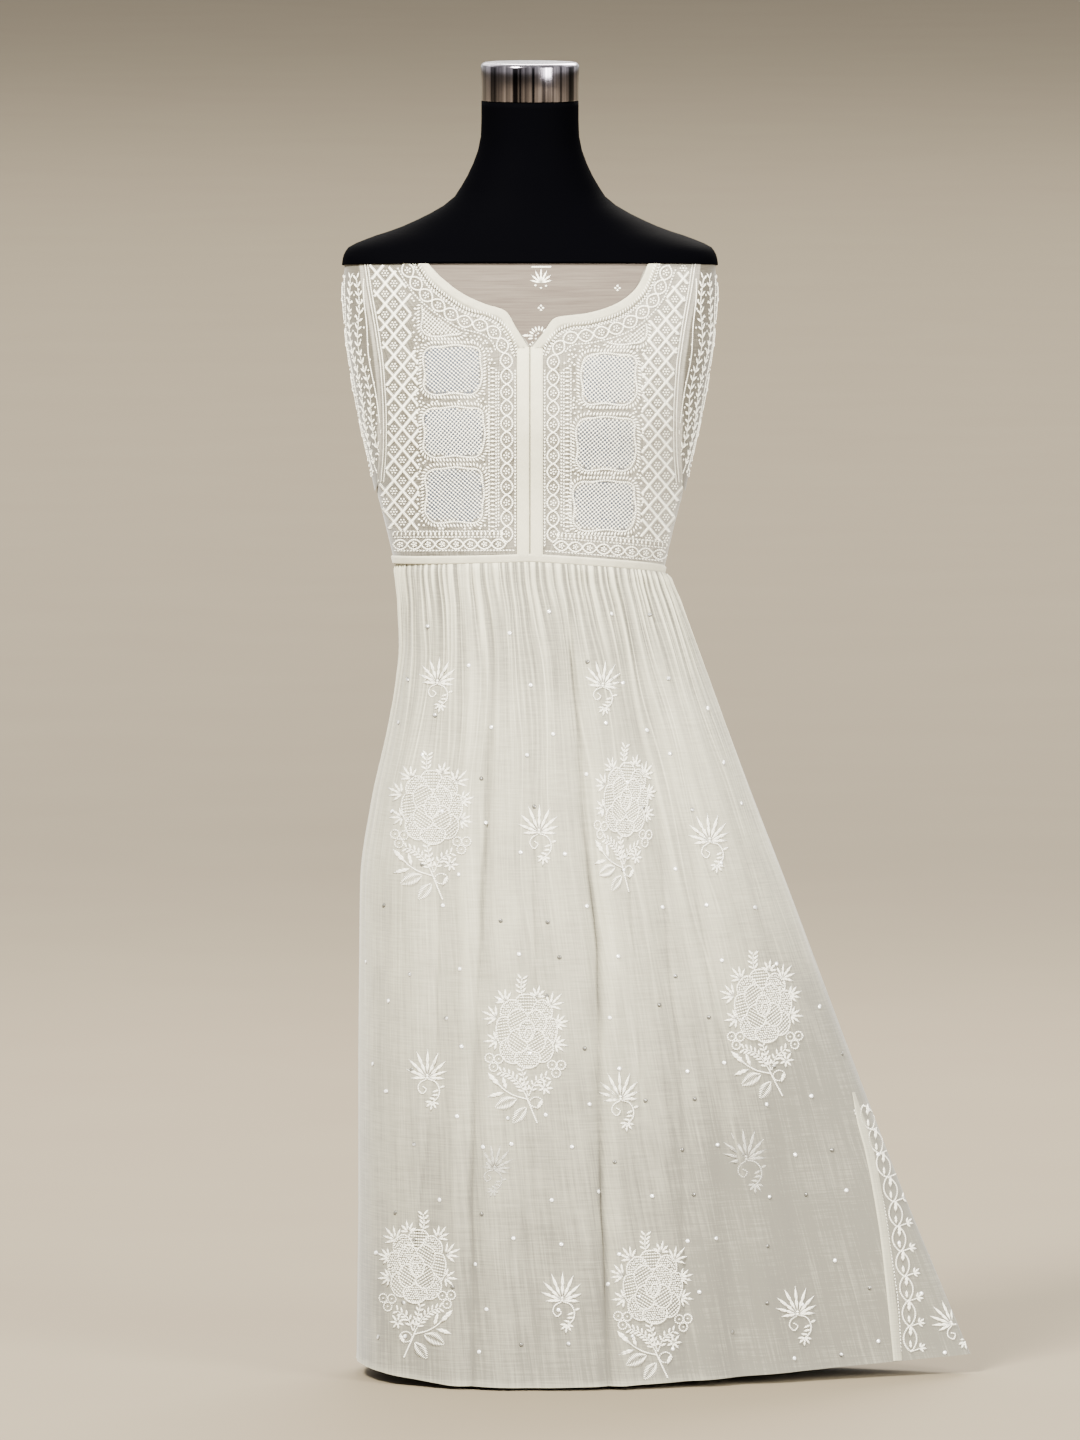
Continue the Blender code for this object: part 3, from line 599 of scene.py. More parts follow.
def neck_edge(side, table):
    """Placket centre, slit and neckline of one front, up to the neck point on the shoulder."""
    gap = 0.35 * side
    foot = seen(gap, SLIT_FOOT[1])
    low = seen(gap, 829)
    seam = float(waist(side * 0.1))
    up = [(low[0] + (foot[0] - low[0]) * k / SLIT_ROW, seam * (1 - k / SLIT_ROW) + foot[1] * k / SLIT_ROW)
          for k in range(SLIT_ROW)]
    slit = [seen(gap + (table[0, 0] - gap) * t, SLIT_FOOT[1] + (table[0, 1] - SLIT_FOOT[1]) * t)
            for t in (0.0, 0.5)]
    curve = [seen(x, h) for x, h in rounded(table, 5)]
    last = curve[-1]
    over = [(last[0] + (90 * side - last[0]) * t, last[1] + (NECK_POINT_HEIGHT - last[1]) * t ** 0.8)
            for t in (0.35, 0.7, 1.0)]
    return np.array([tuple(p) for p in up + slit + curve + over])


def arm_edge(side):
    """Side seam, front of the armhole and shoulder tip of one front."""
    foot = float(waist(90 * side))
    up = [(90 * side, z) for z in np.linspace(foot, UNDERARM_HEIGHT, SIDE_ROWS)]
    curve = [seen(x, h) for x, h in rounded(ARMHOLE * np.array([side, 1]), 11)]
    last = curve[-1]
    rise = SHOULDER_TIP_HEIGHT - last[1]
    over = [(last[0] + (90 * side - last[0]) * t, last[1] + rise * math.sin(t * math.pi / 2))
            for t in (0.25, 0.5, 0.75, 1.0)]
    return np.array([tuple(p) for p in up + curve + over])


def back_half(side, arm):
    """Grid corners of one half of the back: its middle edge and its side edge."""
    up = [(180.0, z) for z in np.linspace(float(waist(180)), BACK_NECK_HEIGHT, len(arm) - 5)]
    over = [(180 - side * 90 * t, BACK_NECK_HEIGHT + (NECK_POINT_HEIGHT - BACK_NECK_HEIGHT) * t ** 2.2)
            for t in (0.2, 0.4, 0.6, 0.8, 1.0)]
    outer = arm.copy()
    outer[:, 0] = 180 - arm[:, 0]
    return np.array(up + over), outer


def cut_of(points):
    """Lengths along the rows and up the middle column of a laid grid, as flat places on the cut."""
    across = np.linalg.norm(np.diff(points, axis=1), axis=2)
    u = np.concatenate([np.zeros((len(points), 1)), np.cumsum(across, axis=1)], axis=1)
    u -= u[:, -1:] / 2
    up = np.linalg.norm(np.diff(points, axis=0), axis=2)
    v = np.concatenate([np.zeros((1, points.shape[1])), np.cumsum(up, axis=0)], axis=0)
    return np.stack([u, v], axis=-1)


SHADE_UNDER_NET = "#444A56"


def muslin(name, thin, full, streak, slub, drawn_thread):
    """Sheer cotton muslin: plain woven, with uneven threads and a fine dry bloom of lint.

    Thin is its colour where one layer shows what lies under it, full where it is gathered up; the share
    between also holds painted light and shade.
    The real cloth has a thread every 0.3 mm, and drawn_thread is the spacing it is drawn at here.
    Where threads were pulled for a net, the cool shade under it shows between the bars.
    """
    made, tree = new_material(name)
    cut = cut_place(tree)
    warp = noise(tree, scaled(tree, cut, 1000 / drawn_thread, 22.0, 1.0), 1.0, 2.0, 0.6)
    weft = noise(tree, scaled(tree, cut, 30.0, 1000 / drawn_thread, 1.0), 1.0, 2.0, 0.6)
    slubs = noise(tree, scaled(tree, cut, 250.0, 5.0, 1.0), 1.0, 3.0, 0.65)
    cloudy = noise(tree, cut, 16.0, 3.0)
    weave = joined_by(tree, "ADD", warp, weft)
    share = ranged(tree, weave, -streak, streak, 0.7, 1.3)
    share = joined_by(tree, "ADD", share, ranged(tree, cloudy, -0.07, 0.07, 0.3, 0.7))
    share = joined_by(tree, "ADD", share, ranged(tree, slubs, -slub, slub, 0.3, 0.7))
    share = joined_by(tree, "ADD", share, kept_amount(tree, "Fullness"), clamp=True)
    under = between(tree, thin, SHADE_UNDER_NET, kept_amount(tree, "Pulled"))
    surface(tree, Base_Color=between(tree, under, full, share), Normal=relief(tree, weave, 0.30, 0.0003),
            Roughness=0.8, Specular_IOR_Level=0.25, Sheen_Weight=0.25, Sheen_Roughness=0.5)
    return made


yoke_muslin = muslin("Yoke_Muslin", "#4B463B", "#B6B1A4", 0.24, 0.05, 1.1)


def near_edge(grid, width):
    """1 on the last column of a grid of points and 0 beyond this width from it."""
    away = np.linalg.norm(grid - grid[:, -1:], axis=2)
    return np.clip((width - away) / 0.8, 0, 1)


neck_right, neck_left = neck_edge(1, NECK_RIGHT), neck_edge(-1, NECK_LEFT)
arm_right, arm_left = arm_edge(1), arm_edge(-1)
yoke = {}
for label, neck, arm in (("right", neck_right, arm_right), ("left", neck_left, arm_left)):
    grid = ruled(finer(neck, EDGE_STEPS), finer(arm, EDGE_STEPS), 64)
    plain = on_form(grid[..., 0], grid[..., 1], YOKE_LIFT)
    strip = near_edge(plain, SEAM_STRIP) * (grid[:, -1:, 1] > UNDERARM_HEIGHT - 4)
    points = on_form(grid[..., 0], grid[..., 1], YOKE_LIFT + SEAM_RISE * strip)
    if label == "left":
        points = points[:, ::-1]
        strip = strip[:, ::-1]
    # Painted light: towards its armhole the right front is a shade lighter and the left one a shade darker,
    # as if more light fell on the right
    x = points[..., 0]
    painted_side_light = np.where(x > 0, 0.10, 0.16) * np.clip((np.abs(x) - 45) / 70, 0, 1) * np.sign(x)
    piece = laid_grid("Yoke_Front_" + label.title(), points, cut_of(points), Pulled=0 * x,
                      Fullness=GROUND + 0.1 * strip + painted_side_light)
    dress(piece, "muslin", yoke_muslin, "yoke_front_" + label)
    yoke[label] = piece

halves = []
for side, arm in ((-1, arm_left), (1, arm_right)):
    middle, outer = back_half(side, arm)
    grid = ruled(finer(middle, EDGE_STEPS), finer(outer, EDGE_STEPS), 56)
    points = on_form(grid[..., 0], grid[..., 1], YOKE_LIFT)
    if side > 0:
        points = points[:, ::-1]
    halves.append(laid_grid("Yoke_Back", points, cut_of(points), Fullness=GROUND + 0 * points[..., 0]))
joined = bmesh.new()
for half in halves:
    joined.from_mesh(half.data)
bmesh.ops.remove_doubles(joined, verts=joined.verts[:], dist=0.00002)
joined.to_mesh(halves[0].data)
joined.free()
bpy.data.objects.remove(halves[1])
yoke["back"] = halves[0]
dress(yoke["back"], "muslin", yoke_muslin, "yoke_back")


# Neck inset: the beige layer of the kurta that fills the neck opening. It is a soft slub muslin,
# woven with uneven weft threads that show as fine darker lines straight across.

INSET_LIFT = 0.6

inset_muslin, tree = new_material("Beige_Slub_Muslin")
slubs = noise(tree, scaled(tree, object_place(tree), 14.0, 0.0, 420.0), 1.0, 4.0, 0.65)
share = ranged(tree, slubs, 0.0, 1.0, 0.3, 0.72)
surface(tree, Base_Color=between(tree, "#4D443D", "#655C53", share), Normal=relief(tree, slubs, 0.5, 0.0004),
        Roughness=0.85, Sheen_Weight=0.2, Specular_IOR_Level=0.2)

inset_left, inset_right = (finer(neck[SLIT_ROW:-1], 5) for neck in (neck_left, neck_right))
grid = ruled(inset_left, inset_right, 72)
points = on_form(grid[..., 0], grid[..., 1], INSET_LIFT)
inset = laid_grid("Neck_Inset", points, cut_of(points))
dress(inset, "inset", inset_muslin, "neck_inset")


# Bindings, plackets and waist band: strips of closer cream cotton, folded in on both edges and
# pressed, over the raw edges of the yoke.

BINDING_WIDTH = 12.0
PLACKET_WIDTH = 12.5
BAND_HEIGHT = 8.0
TRIM_LIFT = 1.9
TRIM_THICK = 1.25
STRIP_COLUMNS = 10

# Pressed cotton: closer and creamier than the muslin, matt, with a fine weave and faint creases.
# Its Fullness is high where it is folded double and low under the white work.
cream_cotton, tree = new_material("Pressed_Cream_Cotton")
cut = cut_place(tree)
threads = noise(tree, scaled(tree, cut, 900.0, 260.0, 1.0), 1.0, 2.0)
mixed = joined_by(tree, "ADD", threads, noise(tree, cut, 60.0, 3.0))
uneven = ranged(tree, mixed, -0.10, 0.10, 0.7, 1.3)
share = joined_by(tree, "ADD", uneven, kept_amount(tree, "Fullness"), clamp=True)
surface(tree, Base_Color=between(tree, "#696457", "#D0CBB3", share), Normal=relief(tree, mixed, 0.35, 0.0004),
        Roughness=0.75, Sheen_Weight=0.2, Specular_IOR_Level=0.25)


def folded_strip(name, one, two, fullness):
    """A strip between two edges of turn and height, its two long edges rolled down to the cloth."""
    grid = ruled(one, two, STRIP_COLUMNS)
    t = np.linspace(-1, 1, STRIP_COLUMNS + 1)[None, :]
    lift = TRIM_LIFT + TRIM_THICK * (1 - np.abs(t) ** 6) ** 0.5 + 0 * grid[..., 0]
    points = on_form(grid[..., 0], grid[..., 1], lift)
    return laid_grid(name, points, cut_of(points), Fullness=np.broadcast_to(fullness, points.shape[:2]))


bindings = {}
for side, label, neck, length in ((1, "right", neck_right, 0.167), (-1, "left", neck_left, 0.145)):
    path = np.vstack([neck[SLIT_ROW:SLIT_ROW + 2], rounded(neck[SLIT_ROW + 2:-3], 7)])
    path[0, 0] += 0.2 * side
    outer = beside(path, BINDING_WIDTH * side)
    outer[0] = seen((PLACKET_WIDTH + 0.5) * side, SLIT_FOOT[1])
    path[-1] = seen(outside(path[-1, 0], path[-1, 1])[0], CAP_RIM + 1.5)
    outer[-1] = seen(outside(outer[-1, 0], outer[-1, 1])[0] + 2.5 * side, CAP_RIM + 1.5)
    edges = [finer(path, EDGE_STEPS), finer(outer, EDGE_STEPS)][::side]
    # The outer third, under the first row of the white work, is toned down, so the ground between its
    # stitches is darker
    from_neck = np.linspace(0, 1, STRIP_COLUMNS + 1)[::side]
    under_stitches = np.interp(from_neck, (0.0, 0.62, 0.74, 1.0), (0.62, 0.60, 0.22, 0.16))
    piece = folded_strip("Neck_Binding_" + label.title(), *edges, under_stitches)
    dress(piece, "trim", cream_cotton, "neck_binding_" + label)
    bindings[label] = piece

    foot = float(seen(0.55 * side, SLIT_FOOT[1])[1])
    heights = np.linspace(float(waist(0.1 * side)) + BAND_HEIGHT - 1, foot + 1.5, 60)
    across = np.linspace(-20, 20, 161)
    edges = [np.column_stack([[np.interp(x * side, outside(across, np.full(161, z))[:, 0], across)
                               for z in heights], heights]) for x in (0.5, 0.5 + PLACKET_WIDTH)][::side]
    piece = folded_strip("Placket_" + label.title(), *edges, 0.86)
    dress(piece, "trim", cream_cotton, "placket_" + label)

for label, start, stop in (("front", -90, 90), ("back", 90, 270)):
    turns = np.linspace(start, stop, 161)
    low = np.column_stack([turns, waist(turns) - 0.3])
    high = np.column_stack([turns, waist(turns) + BAND_HEIGHT])
    piece = folded_strip("Waist_Band_" + label.title(), low[::-1], high[::-1], 0.64)
    dress(piece, "trim", cream_cotton, "waist_band_" + label)


# Cap sleeves: one puffed piece in each armhole, its hem open under the arm, in the same muslin.

SLEEVE_PUFF = 2.2
CUFF_HEIGHT = 885.0
CUFF_DIP = 11.5
WELT = 5.5

sleeves = {}
for side, label, arm in ((1, "right", arm_right), (-1, "left", arm_left)):
    inset_by = beside(arm[SIDE_ROWS:], 0.3 * side)
    front = inset_by[arm[SIDE_ROWS:, 1] > CUFF_HEIGHT]
    front[-1] = (front[-1] + front[-2]) / 2
    behind = front.copy()
    behind[:, 0] = 180 * side - front[:, 0]
    grid = ruled(finer(front, EDGE_STEPS), finer(behind, EDGE_STEPS), 60)
    across = np.sin(np.linspace(0, 1, 61) * np.pi)[None, :] ** 0.7
    grid[..., 1] -= CUFF_DIP * across * np.clip(1 - (grid[..., 1] - grid[:1, :, 1]) / 70, 0, 1)
    below = np.clip((rim_height(grid[..., 0]) - 4 - grid[..., 1]) / 20, 0, 1)
    puff = SLEEVE_PUFF * across * below * below * (3 - 2 * below)
    points = on_form(grid[..., 0], grid[..., 1], YOKE_LIFT + puff)
    if side < 0:
        points = points[:, ::-1]
    welt = near_edge(points, WELT) + near_edge(points[:, ::-1], WELT)[:, ::-1]
    piece = laid_grid("Cap_Sleeve_" + label.title(), points, cut_of(points), Fullness=0.60 * welt - 0.05)
    dress(piece, "muslin", yoke_muslin, "sleeve_" + label)
    sleeves[label] = piece


# Skirt: two panels of muslin, about twice as wide as the waist, drawn up on a gathering thread and
# sewn under the band. The gathers die out within a hand's width and leave long soft creases.

# Skirt: height, left edge, right edge, front depth, back depth, where it is deepest
SKIRT = np.array([
    (822, -136, 137, 94.5, 85, 0),
    (804, -134, 139, 95, 85.5, 0),
    (774, -131, 150, 97.5, 89, 0),
    (734, -130, 165, 103, 99, 0),
    (694, -134, 180, 109, 106, 0),
    (654, -141, 195, 117, 114, 2),
    (574, -159, 225, 131, 127, 5),
    (494, -170, 256, 142, 137, 8),
    (414, -171, 286, 149, 144, 10),
    (294, -172, 331, 158, 152, 12),
    (174, -172, 377, 164, 158, 14),
    (94, -173, 410, 167, 162, 15),
    (2, -174, 448, 170, 165, 15),
])
# Hem across the front and the back: x, height
HEM_FRONT = np.array([(-176, 15), (-130, 9), (-80, 4), (0, 3), (80, 4), (200, 8), (320, 13), (445, 19)],
                     float)
HEM_BACK = np.array([(-176, 15), (-80, 12), (0, 12), (200, 14), (445, 19)], float)
# Soft folds: half width, depth, side of the ridge, then x at seven heights
FOLD_HEIGHTS = (760, 680, 560, 440, 320, 180, 10)
FRONT_FOLDS = (
    (8, 5.0, -1, (-45, -45, -44, -48, -55, -59, -60)),
    (8, 7.0, 1, (40, 47, 58, 68, 70, 72, 80)),
    (14, 5.0, 1, (92, 108, 128, 137, 150, 155, 158)),
    (18, 6.0, 1, (110, 128, 152, 166, 178, 196, 214)),
    (15, 4.0, -1, (-98, -97, -94, -92, -95, -102, -118)),
    (14, 3.5, -1, (2, 3, 4, 6, 4, 2, 0)),
)
BACK_FOLDS = (
    (14, 6.0, 1, (-80, -82, -88, -94, -98, -100, -104)),
    (12, 7.0, -1, (-8, -6, -4, -2, 0, 6, 8)),
    (14, 6.5, 1, (66, 74, 88, 100, 108, 116, 122)),
    (18, 5.5, -1, (104, 122, 150, 172, 190, 212, 232)),
)
# Sharp creases laid over them: x at the same heights, depth, side of the lip, top, foot of the crease
FRONT_CREASES = (
    ((-45, -45, -44, -48, -56, -59, -59), 2.4, -1, 770, 10),
    ((40, 46, 56, 68, 70, 72, 80), 3.4, 1, 790, 6),
    ((100, 115, 130, 139, 151, 155, 156), 1.5, 1, 640, 60),
    ((120, 136, 156, 175, 190, 212, 232), 1.2, 1, 560, 90),
    ((-90, -92, -94, -92, -96, -110, -130), 1.3, -1, 520, 40),
    ((-6, -2, 4, 7, 5, 3, 1), 1.1, -1, 740, 260),
    ((75, 88, 97, 104, 110, 114, 118), 1.0, -1, 700, 300),
)
BACK_CREASES = (
    ((-78, -80, -88, -95, -99, -101, -104), 2.6, 1, 780, 10),
    ((-6, -4, -2, 0, 2, 8, 10), 3.0, -1, 780, 6),
    ((70, 78, 90, 101, 109, 117, 124), 1.8, 1, 700, 40),
    ((110, 128, 152, 174, 192, 214, 236), 1.4, -1, 600, 60),
    ((-40, -42, -45, -50, -54, -58, -60), 1.2, 1, 650, 200),
)
SKIRT_COLUMNS = 680
SKIRT_STEPS = 118
# The first rows lie close together, down to this share of the skirt's height
CLOSE_ROWS = 8
CLOSE_SHARE = 0.024
RING_POINTS = 361
RING_COUNT = 209
RING_STEP = 4.0
WAIST_LEVEL = 812
CUT_WIDTH = 620
HEM_DEPTH = 7.0
FOLD_SHARE = 0.78

SK = [through(SKIRT, k) for k in range(1, 6)]


def ring(height, front):
    """Half of the skirt's ring at a height, from its left end to its right end."""
    left, right, depth_front, depth_back, deepest = (float(f(height)) for f in SK)
    b = depth_front if front else depth_back
    a_left = deepest - left
    a_right = right - deepest
    flare = min(1.0, max(0.0, (a_right - a_left) / 240.0))
    tip = 22.0 * min(1.0, flare * 2.0)
    s = -np.cos(np.linspace(0, np.pi, RING_POINTS))
    x = np.where(s < 0, deepest + s * a_left, deepest + s * a_right)
    u = np.clip(np.abs(s), 0, 1)
    plain = (1 - u ** 2.25) ** (1 / 2.25)
    wing = (0.5 + 0.5 * np.cos(np.pi * u)) ** 0.8 * (1 - tip / b) + tip / b * np.sqrt(1 - u ** 8)
    y = np.where(s < 0, plain, (1 - flare) * plain + flare * wing) * b
    return np.column_stack([x, -y if front else y])


def even_ring(height, front, shares):
    """Points at even shares of a ring's length."""
    curve = ring(height, front)
    return at_lengths(curve, shares * length_along(curve)[-1])


def fold_x(path, height):
    """Where the path of a fold or a crease lies at these heights."""
    return np.interp(height, FOLD_HEIGHTS[::-1], path[::-1])


def fold_depth(folds, x, height, facing):
    """How far the soft folds move the cloth in or out at these places."""
    total = np.zeros_like(x)
    for width, depth, ridge, path in folds:
        away = (x - fold_x(path, height)) / width
        total += depth * (0.75 * np.exp(-((away - 1.7 * ridge) / 1.4) ** 2) - np.exp(-away ** 2))
    return total * np.clip((790 - height) / 160, 0, 1) * np.clip(facing, 0, 1)


def crease_depth(creases, x, height, facing):
    """Narrow creases: a tight groove with a raised lip on one side, fading at both ends."""
    total = np.zeros_like(x)
    for path, depth, lip, top, foot in creases:
        wander = 0.7 * np.sin(height / 41.0 + depth * 5) + 0.3 * np.sin(height / 17.0)
        away = x - fold_x(path, height) - wander
        fade = np.clip((top - height) / 70, 0, 1) * np.clip((height - foot + 60) / 60, 0, 1)
        uneven = 0.75 + 0.25 * np.sin(height / 47.0 + top)
        groove = -np.exp(-(away / 1.7) ** 2)
        raised = 0.9 * np.exp(-np.clip(away * lip - 2.2, 0, None) / 9.0) * (away * lip > 0) * (
            1 - np.exp(-(away / 2.4) ** 2))
        total += depth * uneven * fade * (groove + raised)
    return total * np.clip(facing, 0, 1)


def pinches(rng, share, depth_below, count, rise, reach, sharp, sway=0.0022):
    """Gathers as ridges down from the waist, each with its own height, reach and width."""
    marks = np.cumsum(rng.uniform(0.45, 1.55, count + 1))
    marks = (marks - marks[0]) / (marks[-1] - marks[0])
    drift = sway * np.sin(depth_below / 33.0 + share * 40) * np.clip(depth_below / 60, 0, 1)
    place = np.interp(share + drift, marks, np.arange(count + 1.0))
    k = np.clip(place.astype(int), 0, count - 1)
    tall = rng.uniform(*rise, count)[k]
    long = rng.uniform(*reach, count)[k]
    point = rng.uniform(*sharp, count)[k]
    ridge = np.sin(np.pi * (place - k)) ** point
    return tall * ridge * np.exp(-(depth_below / long) ** 1.7)


def skirt_panel(name, front, count, seed):
    """One panel: rings of even length, moved in and out by its gathers, soft folds and creases."""
    if front:
        folds, creases, hem, depth_at = FRONT_FOLDS, FRONT_CREASES, HEM_FRONT, CHEST
    else:
        folds, creases, hem, depth_at = BACK_FOLDS, BACK_CREASES, HEM_BACK, BACK
    rng = np.random.default_rng(seed)
    share = np.linspace(0, 1, SKIRT_COLUMNS + 1)
    rings = np.array([even_ring(k * RING_STEP, front, share) for k in range(RING_COUNT)])
    at_waist = even_ring(WAIST_LEVEL, front, share)
    turn = np.degrees(np.arctan2(at_waist[:, 0] / HALF(WAIST_LEVEL),
                                 np.abs(at_waist[:, 1]) / depth_at(WAIST_LEVEL)))
    if not front:
        turn = 180 - turn
    top = waist(turn) + 0.2
    close = np.linspace(0, CLOSE_SHARE, CLOSE_ROWS + 1)
    wider = CLOSE_SHARE + (1 - CLOSE_SHARE) * np.linspace(0, 1, SKIRT_STEPS - CLOSE_ROWS)[1:] ** 1.12
    down = np.concatenate([close, wider])
    low_x = rings[2, :, 0]
    foot = np.interp(low_x, hem[:, 0], hem[:, 1])
    z = top[None, :] + (foot - top)[None, :] * down[:, None]
    at = np.clip(z / RING_STEP, 0, RING_COUNT - 1.001)
    i = at.astype(int)
    t = (at - i)[..., None]
    column = np.arange(SKIRT_COLUMNS + 1)[None, :]
    flat_ring = rings[i, column] * (1 - t) + rings[i + 1, column] * t
    along_ring = np.gradient(flat_ring, axis=1)
    along_ring /= np.linalg.norm(along_ring, axis=2, keepdims=True)
    out = np.stack([along_ring[..., 1], -along_ring[..., 0]], axis=-1)
    if not front:
        out = -out
    x = flat_ring[..., 0]
    facing = np.abs(out[..., 1])
    below = top[None, :] - z
    ends = np.clip(np.minimum(share, 1 - share) / 0.012, 0, 1)[None, :]
    # Gathers drawn in order: main and small ones, long ones, soft swells and fine sharp pleats
    fine = pinches(rng, share[None, :], below, count, (1.0, 3.4), (24, 135), (2.0, 6.0))
    fine = fine + pinches(rng, share[None, :], below, count * 2, (0.1, 0.8), (15, 70), (1.0, 2.5))
    long = pinches(rng, share[None, :], below, count // 2, (0.3, 1.9), (110, 330), (1.8, 4.5))
    soft = pinches(rng, share[None, :], below, 15, (0.4, 1.7), (420, 1500), (1.6, 4.0))
    narrow = pinches(rng, share[None, :], below, count * 2, (0.0, 1.1), (60, 320), (5.0, 14.0), 0.0048)
    grown = np.clip(below / 60, 0, 1)
    tight = crease_depth(creases, x, z, facing)
    folds_in = FOLD_SHARE * fold_depth(folds, x, z, facing) + tight
    under_band = np.clip(1 - below / 9.0, 0, 1) ** 1.5
    move = ((fine - 0.9) * np.clip(below / 4.0, 0.15, 1) * ends + long * np.clip(below / 25, 0, 1) * ends
            + soft * grown * ends + folds_in - 1.6 * under_band
            + 0.7 * narrow * np.clip(below / 8, 0, 1) * ends)
    hem_fold = np.clip(1 - (z - foot[None, :]) / HEM_DEPTH, 0, 1) > 0
    move = move + 0.5 * hem_fold
    points = np.dstack([flat_ring + out * move[..., None], z])
    wide = share[None, :] * CUT_WIDTH + 0 * z
    # Fuller colour on ridges, pleats and the doubled hem, partly painted light; darker low down and thinner
    # towards the flared side
    gathered = np.exp(-below / 115.0)
    sheer = np.clip((x - 115) / 230, 0, 1) * np.clip((640 - z) / 480, 0, 1)
    level_tone = 0.12 * np.clip(1 - below / 500, 0, 1) - 0.10 * np.exp(-below / 160)
    # Ridges of the gathers lighter and their hollows darker: partly the cloth drawn up double, partly painted
    # light and shade
    gather_fullness_and_shade = (fine - 0.97) * 0.76 * gathered + (long - 0.4) * 0.22 + (soft - 0.5) * 0.08
    # Painted shade: the grooves of the soft folds and creases are darker, the doubled hem fuller
    crease_shade_and_doubling = 0.015 * folds_in + 0.06 * tight + 0.78 * narrow + 0.25 * hem_fold
    low_and_sheer_darkening = 0.34 * np.clip((440 - z) / 380, 0, 1) + 0.74 * sheer
    fullness = 0.55 + level_tone + gather_fullness_and_shade + crease_shade_and_doubling - low_and_sheer_darkening
    if not front:
        points, wide, z, fullness = (a[:, ::-1] for a in (points, wide, z, fullness))
    cut = np.stack([wide, z], axis=-1)[::-1]
    return laid_grid(name, points[::-1], cut, Fullness=np.clip(fullness, 0, 1.2)[::-1])


skirt_muslin = muslin("Skirt_Muslin", "#68655B", "#BCB8A2", 0.155, 0.11, 1.5)
skirt = {}
for label, front, count, seed in (("front", True, 50, 11), ("back", False, 44, 23)):
    piece = skirt_panel("Skirt_" + label.title(), front, count, seed)
    dress(piece, "muslin", skirt_muslin, "skirt_" + label)
    skirt[label] = piece


# Side seam band: the seam allowance of the right side, folded to the front as a narrow double
# strip of the same muslin. It runs down to the hem.

# Its left edge seen from the front: height, x
SEAM_BAND = np.array([(285, 320), (257, 326.5), (230, 334), (202, 340), (174, 345), (146, 349.5),
                      (118, 353), (90, 356), (62, 359), (36, 361.5), (16, 363.5)])
SEAM_BAND_WIDTH = 9.0
SEAM_BAND_ROWS = 120


def cloth_under(*pieces):
    """What the needle meets: one search tree over the faces of these cloths."""
    verts, faces = [], []
    for piece in pieces:
        start = len(verts)
        verts += [v.co.copy() for v in piece.data.vertices]
        faces += [[start + k for k in p.vertices] for p in piece.data.polygons]
    return BVHTree.FromPolygons(verts, faces)


front_cloth = cloth_under(skirt["front"])
heights = np.linspace(SEAM_BAND[0, 0], SEAM_BAND[-1, 0], SEAM_BAND_ROWS)
edge = np.interp(-heights, -SEAM_BAND[:, 0], SEAM_BAND[:, 1])
shares = np.linspace(0, 1, STRIP_COLUMNS + 1)
points = np.zeros((SEAM_BAND_ROWS, STRIP_COLUMNS + 1, 3))
for i, (x, z) in enumerate(zip(edge, heights)):
    for j, t in enumerate(shares):
        taper = min(1.0, 0.3 + i / 20)
        place = Vector(((x + 3 * (1 - taper) + SEAM_BAND_WIDTH * t * taper) * MM, -0.5, z * MM))
        hit, normal, _, _ = front_cloth.ray_cast(place, Vector((0, 1, 0)))
        up = 0.3 + 1.0 * (1 - abs(2 * t - 1) ** 6) ** 0.5
        points[i, j] = np.array(hit + Vector((0, -up * MM, 0))) / MM
evened = np.array([points[max(0, i - 4):i + 5, :, 1].mean(0) for i in range(SEAM_BAND_ROWS)])
points[..., 1] = np.minimum(points[..., 1], evened)
folded_edge = (0.42 + 0.30 * np.exp(-((shares - 0.12) / 0.14) ** 2)
               + 0.12 * np.exp(-((shares - 0.5) / 0.1) ** 2))
piece = laid_grid("Side_Seam_Band", points[::-1], cut_of(points[::-1]),
                  Fullness=np.tile(folded_edge, (SEAM_BAND_ROWS, 1)))
dress(piece, "trim", skirt_muslin, "side_seam_band")


# White work on the yoke: cotton thread in satin, chain, rope and knot stitches and drawn-thread net.
# Twined rows and ladders frame three netted squares a side and one cut off by the neckline, with
# knots between them, and a trellis with a small flower in each diamond fills up to the armhole.


def from_front(places, facing=1):
    """Starts and ways of the sight lines through places drawn on the picture of the front."""
    way = np.array([0, facing * math.cos(LOOK_DOWN), -math.sin(LOOK_DOWN)])
    height = places[:, 1] / math.cos(LOOK_DOWN)
    starts = np.column_stack([facing * places[:, 0], 0 * places[:, 0], height]) * MM
    return starts - way, np.tile(way, (len(places), 1))


def from_back(places):
    """The same on the picture of the back, with x to the right of someone who stands behind."""
    return from_front(places, -1)


def white_thread(name, dull, bright):
    """Loosely spun white cotton: soft sheen along each stitch, whiter than the muslin."""
    made, tree = new_material(name)
    ply = noise(tree, object_place(tree), 1500.0, 1.0)
    surface(tree, Base_Color=between(tree, dull, bright, ply), Roughness=0.62, Sheen_Weight=0.45,
            Sheen_Roughness=0.4)
    return made


# The yoke is worked in bleached thread and the skirt in a softer one, less bright on open cloth
thread = white_thread("White_Cotton_Thread", "#F8F4E4", "#FFFDED")
skirt_thread = white_thread("Softer_Cotton_Thread", "#E0DCCD", "#ECE9DB")


def evenly(path, step):
    """The same path with points at even steps near this one."""
    p = np.asarray(path, float)
    whole = length_along(p)[-1]
    return at_lengths(p, np.linspace(0, whole, max(2, int(round(whole / step)) + 1)))


def swept(points, step=1.0):
    """A smooth path through points, at even steps."""
    p = np.asarray(points, float)
    q = np.vstack([2 * p[0] - p[1], p, 2 * p[-1] - p[-2]])
    t = np.linspace(0, 1, 13)[:-1, None]
    parts = []
    for a, b, c, d in zip(q, q[1:], q[2:], q[3:]):
        parts.append(0.5 * (2 * b + (c - a) * t + (2 * a - 5 * b + 4 * c - d) * t ** 2
                            + (3 * b - a - 3 * c + d) * t ** 3))
    return evenly(np.vstack([*parts, p[-1:]]), step)


